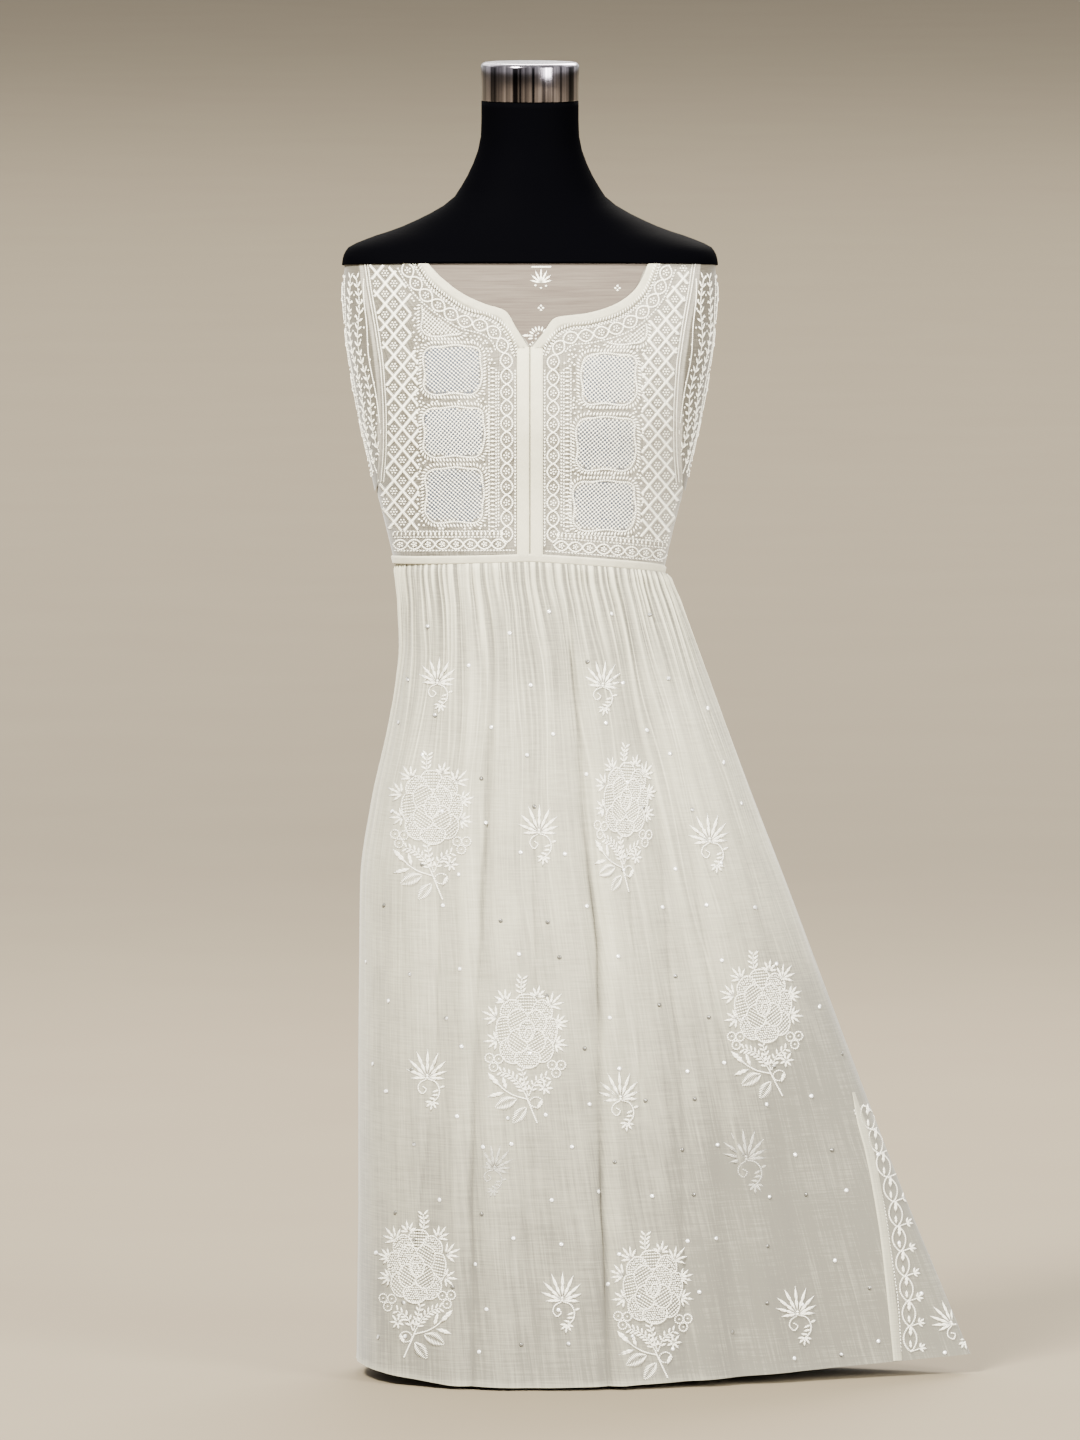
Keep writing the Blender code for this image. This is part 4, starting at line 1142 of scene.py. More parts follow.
def stitched(one, two, wide, rise):
    """Stitches from one row of ends to another: x, y, x, y, width, rise, in millimetres."""
    n = len(one)
    return np.column_stack([one, two, np.full(n, wide), np.full(n, rise)])


def ahead_of(path):
    """The way that a path runs at each of its points."""
    way = np.gradient(path, axis=0)
    return way / np.maximum(np.linalg.norm(way, axis=1, keepdims=True), 1e-9)


def turned_by(way, degrees):
    c, s = math.cos(math.radians(degrees)), math.sin(math.radians(degrees))
    return np.column_stack([way[:, 0] * c - way[:, 1] * s, way[:, 0] * s + way[:, 1] * c])


def rope(path, step=1.3, lean=25, long=2.6, wide=0.8, rise=0.5):
    """Leaning stitches close along a path: a cord at a small lean, a satin bar at a large one."""
    p = evenly(path, step)
    half = turned_by(ahead_of(p), lean) * long / 2
    return stitched(p - half, p + half, wide, rise)


def chain(path, step=3.2, wide=1.0, rise=0.8, spread=0.8):
    """Chain stitch: each link two strands that part and meet again."""
    p = evenly(path, step)
    way = ahead_of(p)[:-1]
    side = turned_by(way, 90) * spread
    mid = (p[1:] + p[:-1]) / 2
    reach = way * step * 0.55
    return np.vstack([stitched(mid - reach - side * 0.4, mid + reach * 0.9 + side, wide, rise),
                      stitched(mid - reach + side * 0.4, mid + reach * 0.9 - side, wide, rise)])


def satin(one, two, step=0.9, wide=0.85, rise=0.6):
    """Close parallel stitches from one edge to the other."""
    lengths = [length_along(edge)[-1] for edge in (one, two)]
    t = np.linspace(0, 1, max(2, int(round(max(lengths) / step)) + 1))
    ends = [at_lengths(edge, t * length) for edge, length in zip((one, two), lengths)]
    return stitched(*ends, wide, rise)


def knots(points, size=1.1, rise=0.7):
    """Small wound knots, each one round grain."""
    p = np.atleast_2d(np.asarray(points, float))
    half = np.array([size / 2, 0])
    return stitched(p - half, p + half, size, rise)


def circle(x, y, r, count=28, squash=1.0):
    a = np.linspace(0, math.tau, count + 1)
    return np.column_stack([x + r * np.cos(a), y + r * squash * np.sin(a)])


def toward(heading):
    """Way of a heading in degrees, turned clockwise from straight up."""
    return np.array([math.sin(math.radians(heading)), math.cos(math.radians(heading))])


def leaf(x, y, heading, long, wide, step=1.0, rise=0.6):
    """A leaf of slanting satin stitches on both sides of its rib, from its foot to its tip."""
    way = toward(heading)
    side = np.array([way[1], -way[0]])
    t = np.linspace(0.04, 0.94, max(3, int(long / step)))
    swell = wide / 2 * np.sin(np.pi * t ** 0.8) ** 0.8
    foot = np.array([x, y]) + way * (t * long)[:, None]
    slant = way * (0.16 * long * (1 - t))[:, None]
    return np.vstack([stitched(foot, foot + slant + side * (sign * swell)[:, None], 0.8, rise)
                      for sign in (1, -1)])


def petal(x, y, heading, long, wide, rise=0.75):
    """A narrow petal of overlapping long stitches that draw together at both ends."""
    way = toward(heading)[None]
    side = np.array([[way[0, 1], -way[0, 0]]])
    base = np.array([[x, y]])
    rows = [stitched(base + way * long * start, base + way * long * stop, wide * 0.62, rise)
            for start, stop in ((0.0, 0.58), (0.20, 0.80), (0.42, 1.0))]
    for bow in (-0.21, 0.21):
        rows += [stitched(base + way * long * start + side * wide * bow * 0.8,
                          base + way * long * stop + side * wide * bow, wide * 0.5, rise * 0.9)
                 for start, stop in ((0.14, 0.60), (0.38, 0.84))]
    return np.vstack(rows)


def within(points, outline):
    """Which points lie inside a closed outline."""
    x, y = points[:, 0], points[:, 1]
    inside = np.zeros(len(points), bool)
    a = np.asarray(outline, float)
    for (x0, y0), (x1, y1) in zip(a, np.roll(a, -1, axis=0)):
        if y0 != y1:
            crosses = (y0 > y) != (y1 > y)
            inside ^= crosses & (x < (x1 - x0) * (y - y0) / (y1 - y0) + x0)
    return inside


def scattered(outline, step, seed, jitter=0.25):
    """Places spread at even steps inside an outline, each moved a little."""
    a = np.asarray(outline, float)
    low, high = a.min(0), a.max(0)
    rows = np.arange(low[1], high[1], step * 0.87)
    spots = np.array([(x + (k % 2) * step / 2, y) for k, y in enumerate(rows)
                      for x in np.arange(low[0], high[0], step)]).reshape(-1, 2)
    spots += np.random.default_rng(seed).uniform(-jitter, jitter, spots.shape) * step
    return spots[within(spots, a)]


def placed(work, x, y, turn=0.0, size=1.0, squash=1.0, flip=False):
    """A piece of work turned, scaled and moved to its place."""
    out = work.copy()
    c, s = math.cos(math.radians(turn)), math.sin(math.radians(turn))
    for k in (0, 2):
        u = out[:, k] * size * squash * (-1 if flip else 1)
        v = out[:, k + 1] * size
        out[:, k] = x + u * c + v * s
        out[:, k + 1] = y - u * s + v * c
    return out


def dropped(tree, places, view):
    """Where sight lines through these places meet the cloth, and the way the cloth faces there."""
    starts, ways = view(places)
    spots = np.full((len(places), 3), np.nan)
    faces = np.full((len(places), 3), np.nan)
    for k in range(len(places)):
        way = Vector(ways[k])
        hit, normal, _, _ = tree.ray_cast(Vector(starts[k]), way)
        if hit is not None:
            spots[k] = hit
            faces[k] = normal if normal.dot(way) < 0 else -normal
    return spots, faces


def grain_of(bm, order):
    """Corners and triangles of a small form, for copying: its axes along, across and out of the cloth."""
    bmesh.ops.triangulate(bm, faces=bm.faces[:])
    corners = np.array([v.co[:] for v in bm.verts])[:, order]
    triangles = np.array([[v.index for v in f.verts] for f in bm.faces])
    bm.free()
    return corners, triangles


grain_form = bmesh.new()
bmesh.ops.create_uvsphere(grain_form, u_segments=4, v_segments=2, radius=1)
THREAD_GRAIN = grain_of(grain_form, (2, 0, 1))


def sewn(name, work, tree, view, finish, lift=0.12, grain=THREAD_GRAIN):
    """One piece of embroidery: every stitch a grain laid on the cloth, joined into one mesh."""
    corners, triangles = grain
    a, face_a = dropped(tree, work[:, 0:2], view)
    b, face_b = dropped(tree, work[:, 2:4], view)
    run = b - a
    long = np.linalg.norm(run, axis=1)
    drawn = np.linalg.norm(work[:, 2:4] - work[:, 0:2], axis=1) * MM
    good = np.isfinite(long) & (long > 1e-5) & (long < drawn * 3 + 0.0015)
    a, b, run, long, work = a[good], b[good], run[good] / long[good, None], long[good], work[good]
    out = face_a[good] + face_b[good]
    out -= run * (out * run).sum(1, keepdims=True)
    out /= np.linalg.norm(out, axis=1, keepdims=True)
    side = np.cross(out, run)
    middle = (a + b) / 2 + out * ((lift + work[:, 5] * 0.25) * MM)[:, None]
    verts = (middle[:, None] + run[:, None] * corners[None, :, :1] * (long / 2)[:, None, None]
             + side[:, None] * corners[None, :, 1:2] * (work[:, 4] * MM / 2)[:, None, None]
             + out[:, None] * corners[None, :, 2:] * (work[:, 5] * MM / 2)[:, None, None])
    faces = triangles[None] + (np.arange(len(a)) * len(corners))[:, None, None]
    mesh = bpy.data.meshes.new(name)
    mesh.from_pydata(verts.reshape(-1, 3).tolist(), [], faces.reshape(-1, 3).tolist())
    made = smooth_piece(name, mesh)
    mesh.materials.append(finish)
    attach(made, "root")
    return made


def twined(path, pitch, reach, flowers=True):
    """Two corded waves that cross again and again, with a flower of fat knots in each eye."""
    line = evenly(path, 1.2)
    run = length_along(line)
    eyes = max(1, round(run[-1] / pitch))
    wave = np.sin(run / run[-1] * eyes * math.pi)
    sway = (np.sign(wave) * np.abs(wave) ** 0.7 * reach)[:, None] * turned_by(ahead_of(line), 90)
    rows = [rope(line + sway, 2.0, 28, 3.3, 1.9, 1.4), rope(line - sway, 2.0, 28, 3.3, 1.9, 1.4)]
    if flowers:
        for middle in (np.arange(eyes) + 0.5) / eyes * run[-1]:
            x, y = (np.interp(middle, run, line[:, k]) for k in (0, 1))
            rows += [knots(circle(x, y, reach * 0.44, 5)[:-1], 2.3, 1.5), knots([(x, y)], 2.2, 1.7)]
    return np.vstack(rows)


def trellis(outline, wide, high):
    """Crossing satin bars with a knotted flower in each diamond."""
    a = np.asarray(outline, float)
    low, top = a.min(0), a.max(0)
    reach = (top[0] - low[0]) / wide + (top[1] - low[1]) / high + 2
    middle = (low + top) / 2
    steps = np.arange(-reach, reach, 1.5 / math.hypot(wide, high) * 2)
    rows = []
    for lean in (1, -1):
        way = np.array([wide / 2, lean * high / 2])
        across = turned_by((way / np.linalg.norm(way))[None, :], 62) * 2.3
        for k in range(-int(reach) - 1, int(reach) + 2):
            line = middle + np.array([k * wide, 0]) + way * steps[:, None]
            line = line[within(line, a)]
            if len(line) > 2:
                rows.append(stitched(line - across, line + across, 1.9, 1.5))
    for i in range(-int(reach), int(reach) + 1):
        for j in range(-int(reach) * 2, int(reach) * 2 + 1):
            x, y = middle + np.array([(i + (0.5 if j % 2 == 0 else 0.0)) * wide, j * high / 2])
            if within(circle(x, y, 2.6, 6), a).all():
                rows += [knots(circle(x, y, 2.8, 6)[:-1], 2.1, 1.5), knots([(x, y)], 2.5, 1.9)]
    return np.vstack(rows)


def squared(x0, y0, x1, y1, corner):
    """Outline of a square with rounded corners."""
    points = []
    for cx, cy, start in ((x1 - corner, y1 - corner, 0), (x0 + corner, y1 - corner, 90),
                          (x0 + corner, y0 + corner, 180), (x1 - corner, y0 + corner, 270)):
        for a in np.radians(np.linspace(start, start + 90, 9)):
            points.append((cx + corner * math.cos(a), cy + corner * math.sin(a)))
    return np.array([*points, points[0]])


NET_PITCH = 2.9


def net(outline):
    """Drawn-thread net: bars one way and finer ones across, about three times as coarse as real ones."""
    a = np.asarray(outline, float)
    middle = a.mean(0)
    reach = np.abs(a - middle).sum(1).max()
    rows = []
    for heading, wide, rise in ((40, 1.95, 1.2), (-50, 0.8, 0.4)):
        way = np.array([math.cos(math.radians(heading)), math.sin(math.radians(heading))])
        side = np.array([-way[1], way[0]])
        for off in np.arange(-reach, reach, NET_PITCH):
            t = np.arange(-reach, reach, NET_PITCH)
            line = middle + side * off + way * t[:, None]
            line = line[within(line, a)]
            if len(line) > 1:
                rows.append(stitched(line - way * 1.7, line + way * 1.7, wide, rise))
    return np.vstack(rows)


def cut_to(work, outline):
    """The stitches whose middles lie inside an outline."""
    return work[within((work[:, 0:2] + work[:, 2:4]) / 2, outline)]


def netted_square(x0, y0, x1, y1, corner=10):
    """A net in an uneven corded frame, with slanting satin outside it."""
    shape = squared(x0, y0, x1, y1, corner)
    frame = evenly(squared(x0 - 1.4, y0 - 1.4, x1 + 1.4, y1 + 1.4, corner + 1), 2.0)
    frame += 0.9 * np.column_stack([np.sin(frame[:, 1] / 4.7), np.sin(frame[:, 0] / 5.3)])
    fringe = squared(x0 - 5.0, y0 - 4.8, x1 + 5.0, y1 + 4.8, corner + 4)
    return np.vstack([net(shape), rope(frame, 1.9, 48, 3.4, 1.6, 1.3), rope(fringe, 3.3, 62, 5.6, 2.0, 1.5)])


def ladder(one, two):
    """Fat rungs between two chained lines."""
    return np.vstack([satin(one, two, 4.2, 2.3, 1.6), chain(one), chain(two)])


def band_top(x):
    """Height at which the top of the waist band is seen."""
    return 821.5 - 10.5 * np.clip(np.asarray(x, float) / 137, 0, 1) ** 1.2


# Netted squares of each front as two opposite corners, then the neckline's twined row
YOKE_SQUARES = {"right": ((53, 969, 104, 1016), (48, 904, 103, 953), (45, 844, 103, 890)),
                "left": ((50, 979, 104, 1024), (47, 917, 104, 963), (48, 852, 102, 903))}
NECK_WORK = {
    "right": [(23, 1009), (30, 1026), (42, 1034), (64, 1037), (97, 1048), (123, 1072), (138, 1106)],
    "left": [(23, 1009), (30, 1032), (44, 1044), (70, 1052), (101, 1074), (116, 1092), (125, 1108)],
}
TOP_SQUARE = {"right": (74, 1029, 114, 1060), "left": (66, 1037, 106, 1070)}


# Half the width of the neckline's twined row with its chains, and the height of the rows along the
# waist band. The trellis starts at TRELLIS_FOOT low down and at TRELLIS_HEAD beside the neckline.
NECK_ROW_HALF = 10.5
WAIST_ROWS = 22
TRELLIS_FOOT = 111
TRELLIS_HEAD = 118


def yoke_work(label):
    """The white work of one front, drawn to the right of the placket."""
    neck_path = swept(NECK_WORK[label], 1.5)
    ringed_path = np.vstack([[(23, 831)], neck_path])
    out = turned_by(ahead_of(neck_path), -90)
    seam = ARMHOLE - np.array([SEAM_STRIP + 2.0, 0])
    x_row = np.linspace(15, 136, 40)
    foot = band_top(x_row) if label == "right" else np.full(40, 821.5)
    corner = (TRELLIS_FOOT, foot[-1] + WAIST_ROWS)
    beyond_row = neck_path + out * NECK_ROW_HALF
    under_neck = np.vstack([beyond_row, [(175, 1110), (175, 815), (10, 815)]])
    beside_row = beyond_row[(beyond_row[:, 0] > 33) & (beyond_row[:, 0] < TRELLIS_HEAD)]
    filled = np.vstack([[(42.5, foot[9] + WAIST_ROWS), (43, 1004)], beside_row, [corner]])
    spots = scattered(filled, 4.4, 5)
    for x0, y0, x1, y1 in (*YOKE_SQUARES[label], TOP_SQUARE[label]):
        spots = spots[~within(spots, squared(x0 - 7.2, y0 - 6.8, x1 + 7.2, y1 + 6.8, 14))]
    upper = beyond_row[beyond_row[:, 0] > TRELLIS_HEAD]
    field = np.vstack([[corner, (TRELLIS_FOOT, 1016), (TRELLIS_HEAD, 1030)], upper, [(152, 1108)],
                       seam[::-1], [(152.5, 888), (149, 866), (142, foot[-1] + 20)]])
    top_square = netted_square(*TOP_SQUARE[label], 8)
    armhole_rows = [swept(ARMHOLE - np.array([inward, 0]), 1.5) for inward in (1.4, 4.2, 7.0)]
    rows = [
        twined(ringed_path, 15.4, 5.8),
        rope((neck_path - out * 12.3)[3:], 3.0, 60, 5.2, 1.7, 1.5),
        knots(evenly((neck_path - out * 9.0)[3:], 3.2), 2.3, 1.6),
        chain(np.array([(14.6, 826), (14.6, 1002)])),
        chain(np.array([(31.2, 846), (31.2, 1000)])),
        chain((neck_path - out * 7.6)[4:]),
        chain((neck_path + out * 7.8)[9:]),
        ladder(np.array([(33.6, 842), (33.6, 1003)]), np.array([(40.6, 842), (40.6, 1003)])),
        twined(np.column_stack([x_row, foot + 7.4])[3:], 13.4, 4.8),
        chain(np.column_stack([x_row, foot + 1.2])),
        ladder(np.column_stack([x_row[4:], foot[4:] + 14.6]), np.column_stack([x_row[4:], foot[4:] + 20.2])),
        *[netted_square(*corners) for corners in YOKE_SQUARES[label]],
        cut_to(top_square, under_neck), knots(spots, 2.8, 1.6),
        trellis(field, 17.2, 20.6),
        *[rope(row, 2.0, 12, 3.2, 1.4, 1.0) for row in armhole_rows],
    ]
    work = np.vstack(rows)
    if label == "left":
        work[:, [0, 2]] *= -1
    return work


def thinner(piece, outlines, amount):
    """Pulled threads leave the cloth thinner inside these outlines of the front picture, where the painted
    shade under the net shows.
    """
    mesh = piece.data
    place = np.zeros(len(mesh.vertices) * 3)
    mesh.vertices.foreach_get("co", place)
    x, y, z = place.reshape(-1, 3).T / MM
    picture = np.column_stack([x, z * math.cos(LOOK_DOWN) + y * math.sin(LOOK_DOWN)])
    value = np.zeros(len(x))
    pulled = np.zeros(len(x))
    mesh.attributes["Fullness"].data.foreach_get("value", value)
    for outline in outlines:
        inside = within(picture, outline)
        value[inside] -= amount
        pulled[inside] = 1
    mesh.attributes["Fullness"].data.foreach_set("value", value)
    mesh.attributes["Pulled"].data.foreach_set("value", pulled)


for label, side in (("right", 1), ("left", -1)):
    under_needle = cloth_under(yoke[label], bindings[label])
    sewn("White_Work_" + label.title(), yoke_work(label), under_needle, from_front, thread)
    nets = [squared(*corners, 10) * np.array([side, 1]) for corners in YOKE_SQUARES[label]]
    thinner(yoke[label], nets, 0.22)


# White work on the skirt: bouquets of a knotted rose with sprigs, ring flowers, ferns and leaves,
# and palm sprigs between them, worked through the muslin before it was gathered.


def sprig(x, y, heading, count=5, long=10.0, spread=70, wide=3.2):
    """A fan of small satin petals."""
    return np.vstack([petal(x, y, heading + a, long * (1 - 0.25 * abs(a) / max(spread, 1)), wide, 1.3)
                      for a in np.linspace(-spread, spread, count)])


def ring_flower(x, y):
    """A corded ring about 9 mm across with a knot in it."""
    return np.vstack([rope(circle(x, y, 4.3, 18), 2.0, 30, 3.2, 1.9, 1.4), knots([(x, y)], 2.4, 1.4)])


def fern(path, long=7.0, pitch=4.6):
    """A corded stem with a pair of petals at each step."""
    spine = evenly(path, pitch)
    way = ahead_of(spine)
    heading = np.degrees(np.arctan2(way[:, 0], way[:, 1]))
    rows = [rope(path, 1.9, 12, 2.8, 1.6, 1.1)]
    for (x, y), h in zip(spine[1:], heading[1:]):
        rows += [petal(x, y, h + 48, long, 2.7, 1.2), petal(x, y, h - 48, long, 2.7, 1.2)]
    return np.vstack(rows)


def filled_leaf(x, y, heading, long, wide):
    """A broad leaf in thicker thread."""
    return leaf(x, y, heading, long, wide, 1.7, 1.2) * np.array([1, 1, 1, 1, 1.8, 1])


# Palm: heading and length of each long petal, then place, heading and length of its small leaves
PALM_FAN = ((1, 29), (-22, 29), (24, 28), (-45, 27), (48, 25), (-68, 23), (71, 21), (-92, 17), (93, 18))
PALM_LEAVES = ((12, -10, 250, 8), (12, -15, 265, 8), (9, -20, 285, 8), (12, -8, 70, 6))


def palm_sprig():
    """Long pointed petals over a curled stem that ends in a spray of short ones."""
    stem = swept([(0, 1), (8, -2), (12, -9), (11, -17), (5, -23)])
    curl = swept([(0, 1), (-7, -3), (-9, -9), (-5, -14), (-1, -10), (-4, -7)])
    fan = [petal(0, 2, heading, long, 3.7, 1.7) for heading, long in PALM_FAN]
    leaves = [petal(x, y, heading, long, 2.8, 1.3) for x, y, heading, long in PALM_LEAVES]
    return np.vstack([*fan, *leaves, knots([(0, 2), (0, 4.5)], 3.6, 2.6),
                      rope(stem, 1.9, 14, 3.2, 2.0, 1.4), rope(curl, 1.9, 14, 3.2, 1.8, 1.3),
                      sprig(5, -22, 190, 5, 10, 80, 2.8)])


# Petals of the rose from the outermost in: middle, half width, half height, lean, whether in lines
ROSE_PETALS = ((0, 40, 13, 10, 0, True), (-17, 31, 13, 13, -35, False), (19, 31, 12, 13, 35, False),
               (-25, 12, 10, 16, -8, True), (28, 12, 9, 15, 10, False), (-17, -7, 14, 12, 30, False),
               (20, -6, 13, 12, -34, True), (2, -14, 15, 10, 0, False), (-9, 22, 12, 13, -24, True),
               (12, 21, 12, 13, 28, False), (-9, 3, 12, 12, 30, True), (12, 3, 11, 12, -26, True),
               (1, 13, 9, 11, 4, False), (3, 10, 4.5, 6, 12, False))


def petal_outline(x, y, wide, high, lean):
    """A rose petal: rounded outside, with a shallow notch in its lip."""
    a = np.linspace(0, math.tau, 29)
    swell = 1 - 0.09 * np.exp(-((a - math.pi / 2) / 0.32) ** 2)
    u, v = wide * np.cos(a) * swell, high * np.sin(a) * swell
    c, s = math.cos(math.radians(lean)), math.sin(math.radians(lean))
    return np.column_stack([x + u * c + v * s, y - u * s + v * c])


def rose():
    """Overlapping petals, each corded round and filled with knots or with lines of back stitch."""
    shapes = [petal_outline(*row[:5]) for row in ROSE_PETALS]
    rows = []
    for k, (shape, row) in enumerate(zip(shapes, ROSE_PETALS)):
        if row[5]:
            way = toward(row[4] + 90)
            side = np.array([way[1], -way[0]])
            spots = np.array([row[:2] + way * t + side * off
                              for off in np.arange(-27, 27, 3.0) for t in np.arange(-30, 30, 3.0)])
            spots = spots[within(spots, shape)]
            filling = stitched(spots - way * 1.8, spots + way * 1.8, 1.9, 1.3)
        else:
            filling = knots(scattered(shape, 2.6, 8 + k, 0.2), 2.5, 1.4)
        part = np.vstack([filling, rope(shape, 2.1, 34, 3.3, 1.9, 1.7)])
        for inner in shapes[k + 1:]:
            part = part[~within((part[:, 0:2] + part[:, 2:4]) / 2, inner)]
        rows.append(part)
    return np.vstack(rows)


# Round the rose: place, heading, length and spread of each sprig, then the places of the ring flowers
ROSE_SPRIGS = ((11, 48, 14, 12, 75), (-20, 43, -34, 15, 62), (24, 39, 44, 17, 64), (-29, 27, -66, 17, 60),
               (30, 21, 76, 14, 60), (-29, 4, -92, 14, 75), (29, 1, 98, 14, 66))
ROSE_RINGS = ((-36, -13), (-27, -14), (-32, -22), (26, -20), (35, -20), (30, -28))


def bouquet():
    """The rose with its sprigs and ring flowers, over ferns, leaves and a bud on one stem."""
    rows = [placed(rose(), 0, 1, 0, 1.0, 0.84), fern(swept([(-3, 47), (-5, 56), (-4, 65)]), 7.5, 4.4)]
    rows += [sprig(x, y, heading, 5, long, spread, 3.0) for x, y, heading, long, spread in ROSE_SPRIGS]
    rows += [ring_flower(x, y) for x, y in ROSE_RINGS]
    rows += [
        fern(swept([(0, -50), (-7, -38), (-16, -30), (-24, -27)])),
        fern(swept([(2, -50), (-1, -38), (-4, -26)]), 6),
        fern(swept([(3, -50), (9, -38), (19, -32)])),
        rope(swept([(11, -77), (3, -58), (0, -50)]), 1.8, 14, 3.2, 2.3, 1.4),
        rope(swept([(1, -54), (-12, -50), (-22, -44), (-28, -38)]), 1.8, 14, 3.2, 2.0, 1.3),
        petal(-25, -42, -42, 20, 6.0, 1.7),
        petal(-19, -46, -15, 16, 4.6, 1.5),
        petal(-21, -47, -105, 18, 5.0, 1.6),
        filled_leaf(-8, -53, -112, 25, 15),
        filled_leaf(1, -61, -140, 22, 14),
        sprig(19, -43, 40, 7, 10, 150, 2.8),
        rope(circle(10, -57, 6.4, 20, 0.8), 2.2, 20, 3.0, 1.7, 1.2),
        petal(16, -54, 205, 12, 4.0, 1.4),
    ]
    return np.vstack(rows)


def strewn(bouquets, palms):
    """Bouquets and palm sprigs, each turned and scaled to its place on a panel."""
    rows = [placed(rose_bouquet, *row) for row in bouquets]
    return np.vstack(rows + [placed(palm, *row) for row in palms])


# Bouquets: x, height, turn, size, width share, mirrored. Palms: x, height, turn, size
BOUQUETS = ((-98, 553, 0, 1.0, 1.0, False), (94, 561, 3, 1.0, 0.72, False), (-4, 331, 0, 1.0, 1.0, False),
            (233, 355, -6, 1.0, 0.94, False), (-112, 96, 2, 1.0, 0.95, True), (122, 76, -3, 1.0, 0.97, False))
PALM_SPRIGS = ((-92, 689, 4, 0.9), (72, 686, 6, 0.9), (9, 540, 0, 1.0), (179, 531, -6, 1.0),
               (-102, 296, 0, 1.0), (90, 275, -4, 1.0), (32, 75, 0, 1.0), (267, 59, -6, 1.0),
               (423, 47, -24, 0.9))
# Sprigs of the panel behind, seen through the sheer front
VEILED_SPRIGS = ((216, 214, -8, 1.08), (-36, 206, 14, 0.85))

rose_bouquet, palm = bouquet(), palm_sprig()
sewn("Skirt_Work_Front", strewn(BOUQUETS, PALM_SPRIGS), front_cloth, from_front, skirt_thread)

# The veil of muslin over them dims their thread and leaves almost no relief
veiled_thread = white_thread("Veiled_Cotton_Thread", "#A09D92", "#ABA89D")
veiled_work = strewn((), VEILED_SPRIGS) * np.array([1, 1, 1, 1, 1, 0.25])
sewn("Veiled_Work", veiled_work, front_cloth, from_front, veiled_thread, 0.02)

BACK_BOUQUETS = ((92, 549, -2, 1.0, 1.0, True), (-92, 556, -3, 1.0, 0.85, False),
                 (4, 329, 0, 1.0, 1.0, False), (-222, 352, 8, 1.0, 0.92, True),
                 (112, 94, -2, 1.0, 0.95, False), (-130, 84, 3, 1.0, 0.95, False),
                 (-322, 96, 12, 1.0, 0.9, True))
BACK_PALMS = ((96, 700, -4, 0.9), (-70, 697, -6, 0.9), (10, 700, 0, 0.9), (0, 548, 0, 0.95),
              (-172, 545, 8, 1.0), (106, 312, 0, 1.0), (-108, 300, 4, 1.0), (-204, 232, 8, 0.95),
              (-10, 92, 0, 1.0), (-232, 78, 10, 1.0), (-280, 232, 14, 0.9), (-396, 60, 16, 0.9))

back_cloth = cloth_under(skirt["back"])
sewn("Skirt_Work_Back", strewn(BACK_BOUQUETS, BACK_PALMS), back_cloth, from_back, skirt_thread)


# Border of the side seam: two corded lines that cross into tall eyes beside the band, a petal in each
# eye and a small spray at each crossing, in the same thread.

BORDER = swept([(333, 268), (349, 222), (363, 174), (371, 121), (378, 72), (381, 22)], 1.5)

BORDER_PITCH = 25.0

outer_line = BORDER + turned_by(ahead_of(BORDER), -90) * 9.8
border_rows = [twined(BORDER, BORDER_PITCH, 6.6, False), chain(outer_line, 3.4, 0.9, 0.7, 0.7)]
joints = evenly(BORDER, BORDER_PITCH)
for (x, y), (next_x, next_y) in zip(joints, joints[1:]):
    border_rows += [petal(x + (next_x - x) * 0.45, y + (next_y - y) * 0.45, 4, 13, 4.4, 1.5),
                    petal(x + (next_x - x) * 0.55, y + (next_y - y) * 0.55, 176, 9, 3.4, 1.4),
                    rope([(next_x + 1, next_y), (next_x + 10, next_y + 3)], 2.0, 14, 3.2, 1.6, 1.2),
                    sprig(next_x + 9, next_y + 3, 72, 4, 8, 60, 2.6)]
sewn("Seam_Border", np.vstack(border_rows), front_cloth, from_front, skirt_thread)


# White work on the sleeves, the neck inset and the back of the yoke: leafy vines up both armholes
# with small palms between, a fan, a half flower and dots behind the neck opening, and at the back
# rows of small palms framed by twined rows.

SIDE_SPREAD = 2.4


def round_side(side):
    """Sight lines square to the form: places are millimetres forward of the side line, and heights."""
    def view(places):
        turn = side * (90 - places[:, 0] / SIDE_SPREAD)
        starts = on_form(turn, places[:, 1], np.full(len(places), 40.0)) * MM
        ways = -form_normal(turn, places[:, 1])
        return starts, ways
    return view


small_palm = placed(palm, 0, 0, 0, 0.62)
sleeve_rows = []
heights = np.linspace(906, 1100, 40)
# Vines: millimetres from the side line, sway, length of a wave, whether in leaf
VINES = ((75, 1.2, 11, False), (62, 4.5, 14, True), (43, 5.0, 17, True), (25, 4.0, 14, False))
for away, sway, length, leafy in VINES:
    for start in (away, -away):
        vine = swept(np.column_stack([start + sway * np.sin(heights / length), heights]))
        sleeve_rows.append(fern(vine, 9.0, 8.5) if leafy else rope(vine, 2.0, 16, 3.4, 1.7, 1.3))
for y in (1075, 1030, 985, 940):
    sleeve_rows.append(placed(small_palm, 0, y))
sleeve_field = np.array([(-78, 900), (78, 900), (78, 1102), (-78, 1102)])
sleeve_rows.append(knots(scattered(sleeve_field, 10.5, 3, 0.3), 3.0, 1.5))
sleeve_work = np.vstack(sleeve_rows)
for side, label in ((1, "right"), (-1, "left")):
    sewn("Sleeve_Work_" + label.title(), sleeve_work, cloth_under(sleeves[label]), round_side(side), thread)

# Half flower seen over the slit: middle and radius of its ring of petals
FLOWER_X, FLOWER_Y, FLOWER_RADIUS = 9, 1034, 5.5

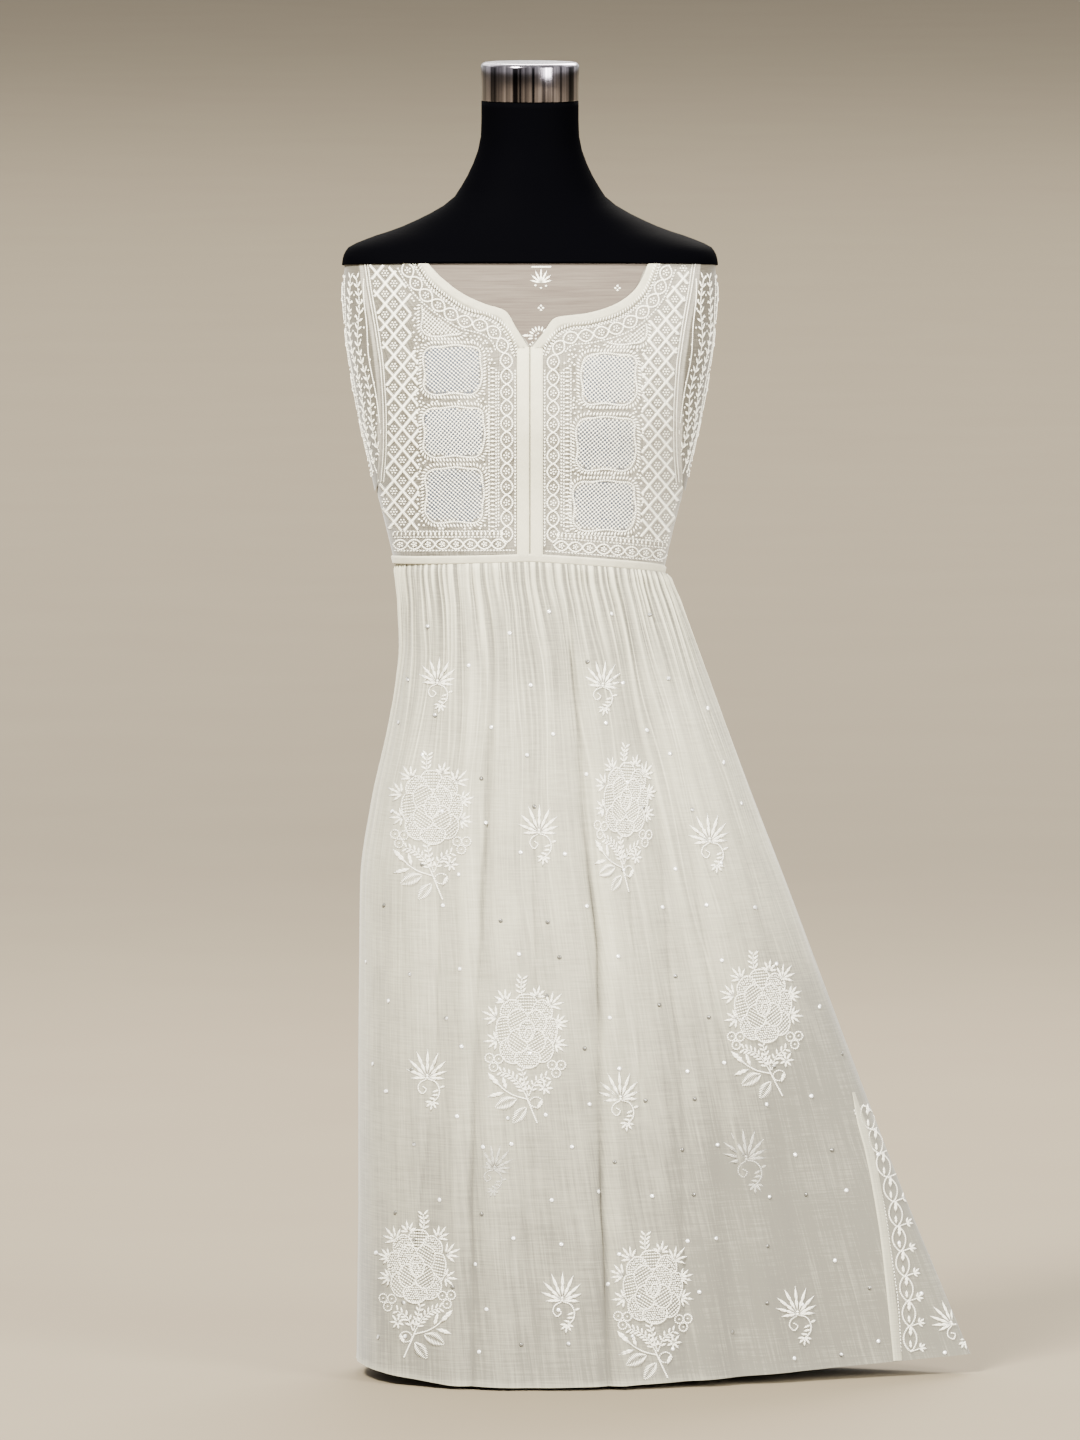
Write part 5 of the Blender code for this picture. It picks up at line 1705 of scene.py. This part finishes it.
inset_rows = [
    sprig(11, 1088, 0, 7, 15.5, 76, 2.4),
    knots(np.array([(5.5, 1085.5), (11, 1083), (16, 1085)]), 3.0, 1.5),
    rope(np.array([(2.5, 1104), (20.0, 1104)]), 2.0, 20, 3.4, 2.2, 1.3),
    knots(circle(FLOWER_X, FLOWER_Y, 3.6, 7)[:-1], 2.4, 1.5),
    knots(scattered(circle(6, 1025, 7, 12), 3.2, 9), 2.4, 1.4),
    petal(0, 1035.5, -90, 8, 3.0, 1.3),
]
for turn in range(-100, 101, 20):
    x = FLOWER_X + FLOWER_RADIUS * math.sin(math.radians(turn))
    y = FLOWER_Y + FLOWER_RADIUS * math.cos(math.radians(turn))
    inset_rows.append(petal(x, y, turn, 6.0, 2.3, 1.3))
for x, y in ((11, 1063), (87, 1083)):
    inset_rows.append(knots(circle(x, y, 2.1, 4)[:-1], 3.0, 1.5))
sewn("Inset_Work", np.vstack(inset_rows), cloth_under(inset), from_front, thread)


def level_row(height):
    """A straight row across the back of the yoke."""
    x = np.linspace(-146, 146, 60)
    return np.column_stack([x, 0 * x + height])


back_rows = [twined(level_row(836), 14.6, 5.6), chain(level_row(826)), ladder(level_row(845), level_row(851))]
for k, y in enumerate(range(892, 1100, 46)):
    for x in np.arange(-126, 127, 50.4) + (25.2 if k % 2 else 0):
        back_rows.append(placed(palm, x, y, 0, 0.66))
for side in (-1, 1):
    edge = swept(np.column_stack([(ARMHOLE[1:, 0] - 11) * side, ARMHOLE[1:, 1]]), 1.5)
    back_rows += [chain(edge), chain(edge - np.array([13.5 * side, 0])),
                  twined(edge - np.array([6.7 * side, 0]), 14.0, 5.0)]
sewn("Yoke_Work_Back", np.vstack(back_rows), cloth_under(yoke["back"]), from_back, thread)


# Sequins: flat cups of clear film about 4 mm across, strewn over the skirt, each held by one stitch.
# Their colour is painted bright on most and grey on some, at random: a painted glint of the lamps and a
# painted reflection of the dark.

sequin_film, tree = new_material("Clear_Sequin_Film")
painted_glint_share = ranged(tree, noise(tree, object_place(tree), 60.0, 0.0), 0.0, 1.0, 0.38, 0.50)
surface(tree, Base_Color=between(tree, "#66645E", "#FFFFFF", painted_glint_share), Roughness=0.16, Metallic=0.25,
        Specular_IOR_Level=0.8)

sequin_form = bmesh.new()
bmesh.ops.create_cone(sequin_form, cap_ends=True, segments=12, radius1=1, radius2=0.55, depth=1)
SEQUIN_GRAIN = grain_of(sequin_form, (0, 1, 2))

rng = np.random.default_rng(41)
for label, view, tree, side in (("Front", from_front, front_cloth, 1), ("Back", from_back, back_cloth, -1)):
    spots = np.array([(x + (k % 2) * 26, y)
                      for k, y in enumerate(range(30, 790, 48)) for x in range(-165, 420, 52)])
    spots = (spots + rng.uniform(-15, 15, spots.shape)) * np.array([side, 1])
    angle = rng.uniform(0, math.tau, len(spots))
    half = np.column_stack([np.cos(angle), np.sin(angle)]) * 2.2
    sequins = stitched(spots - half, spots + half, 4.4, 1.3)
    sewn("Sequins_" + label, sequins, tree, view, sequin_film, 0.3, SEQUIN_GRAIN)
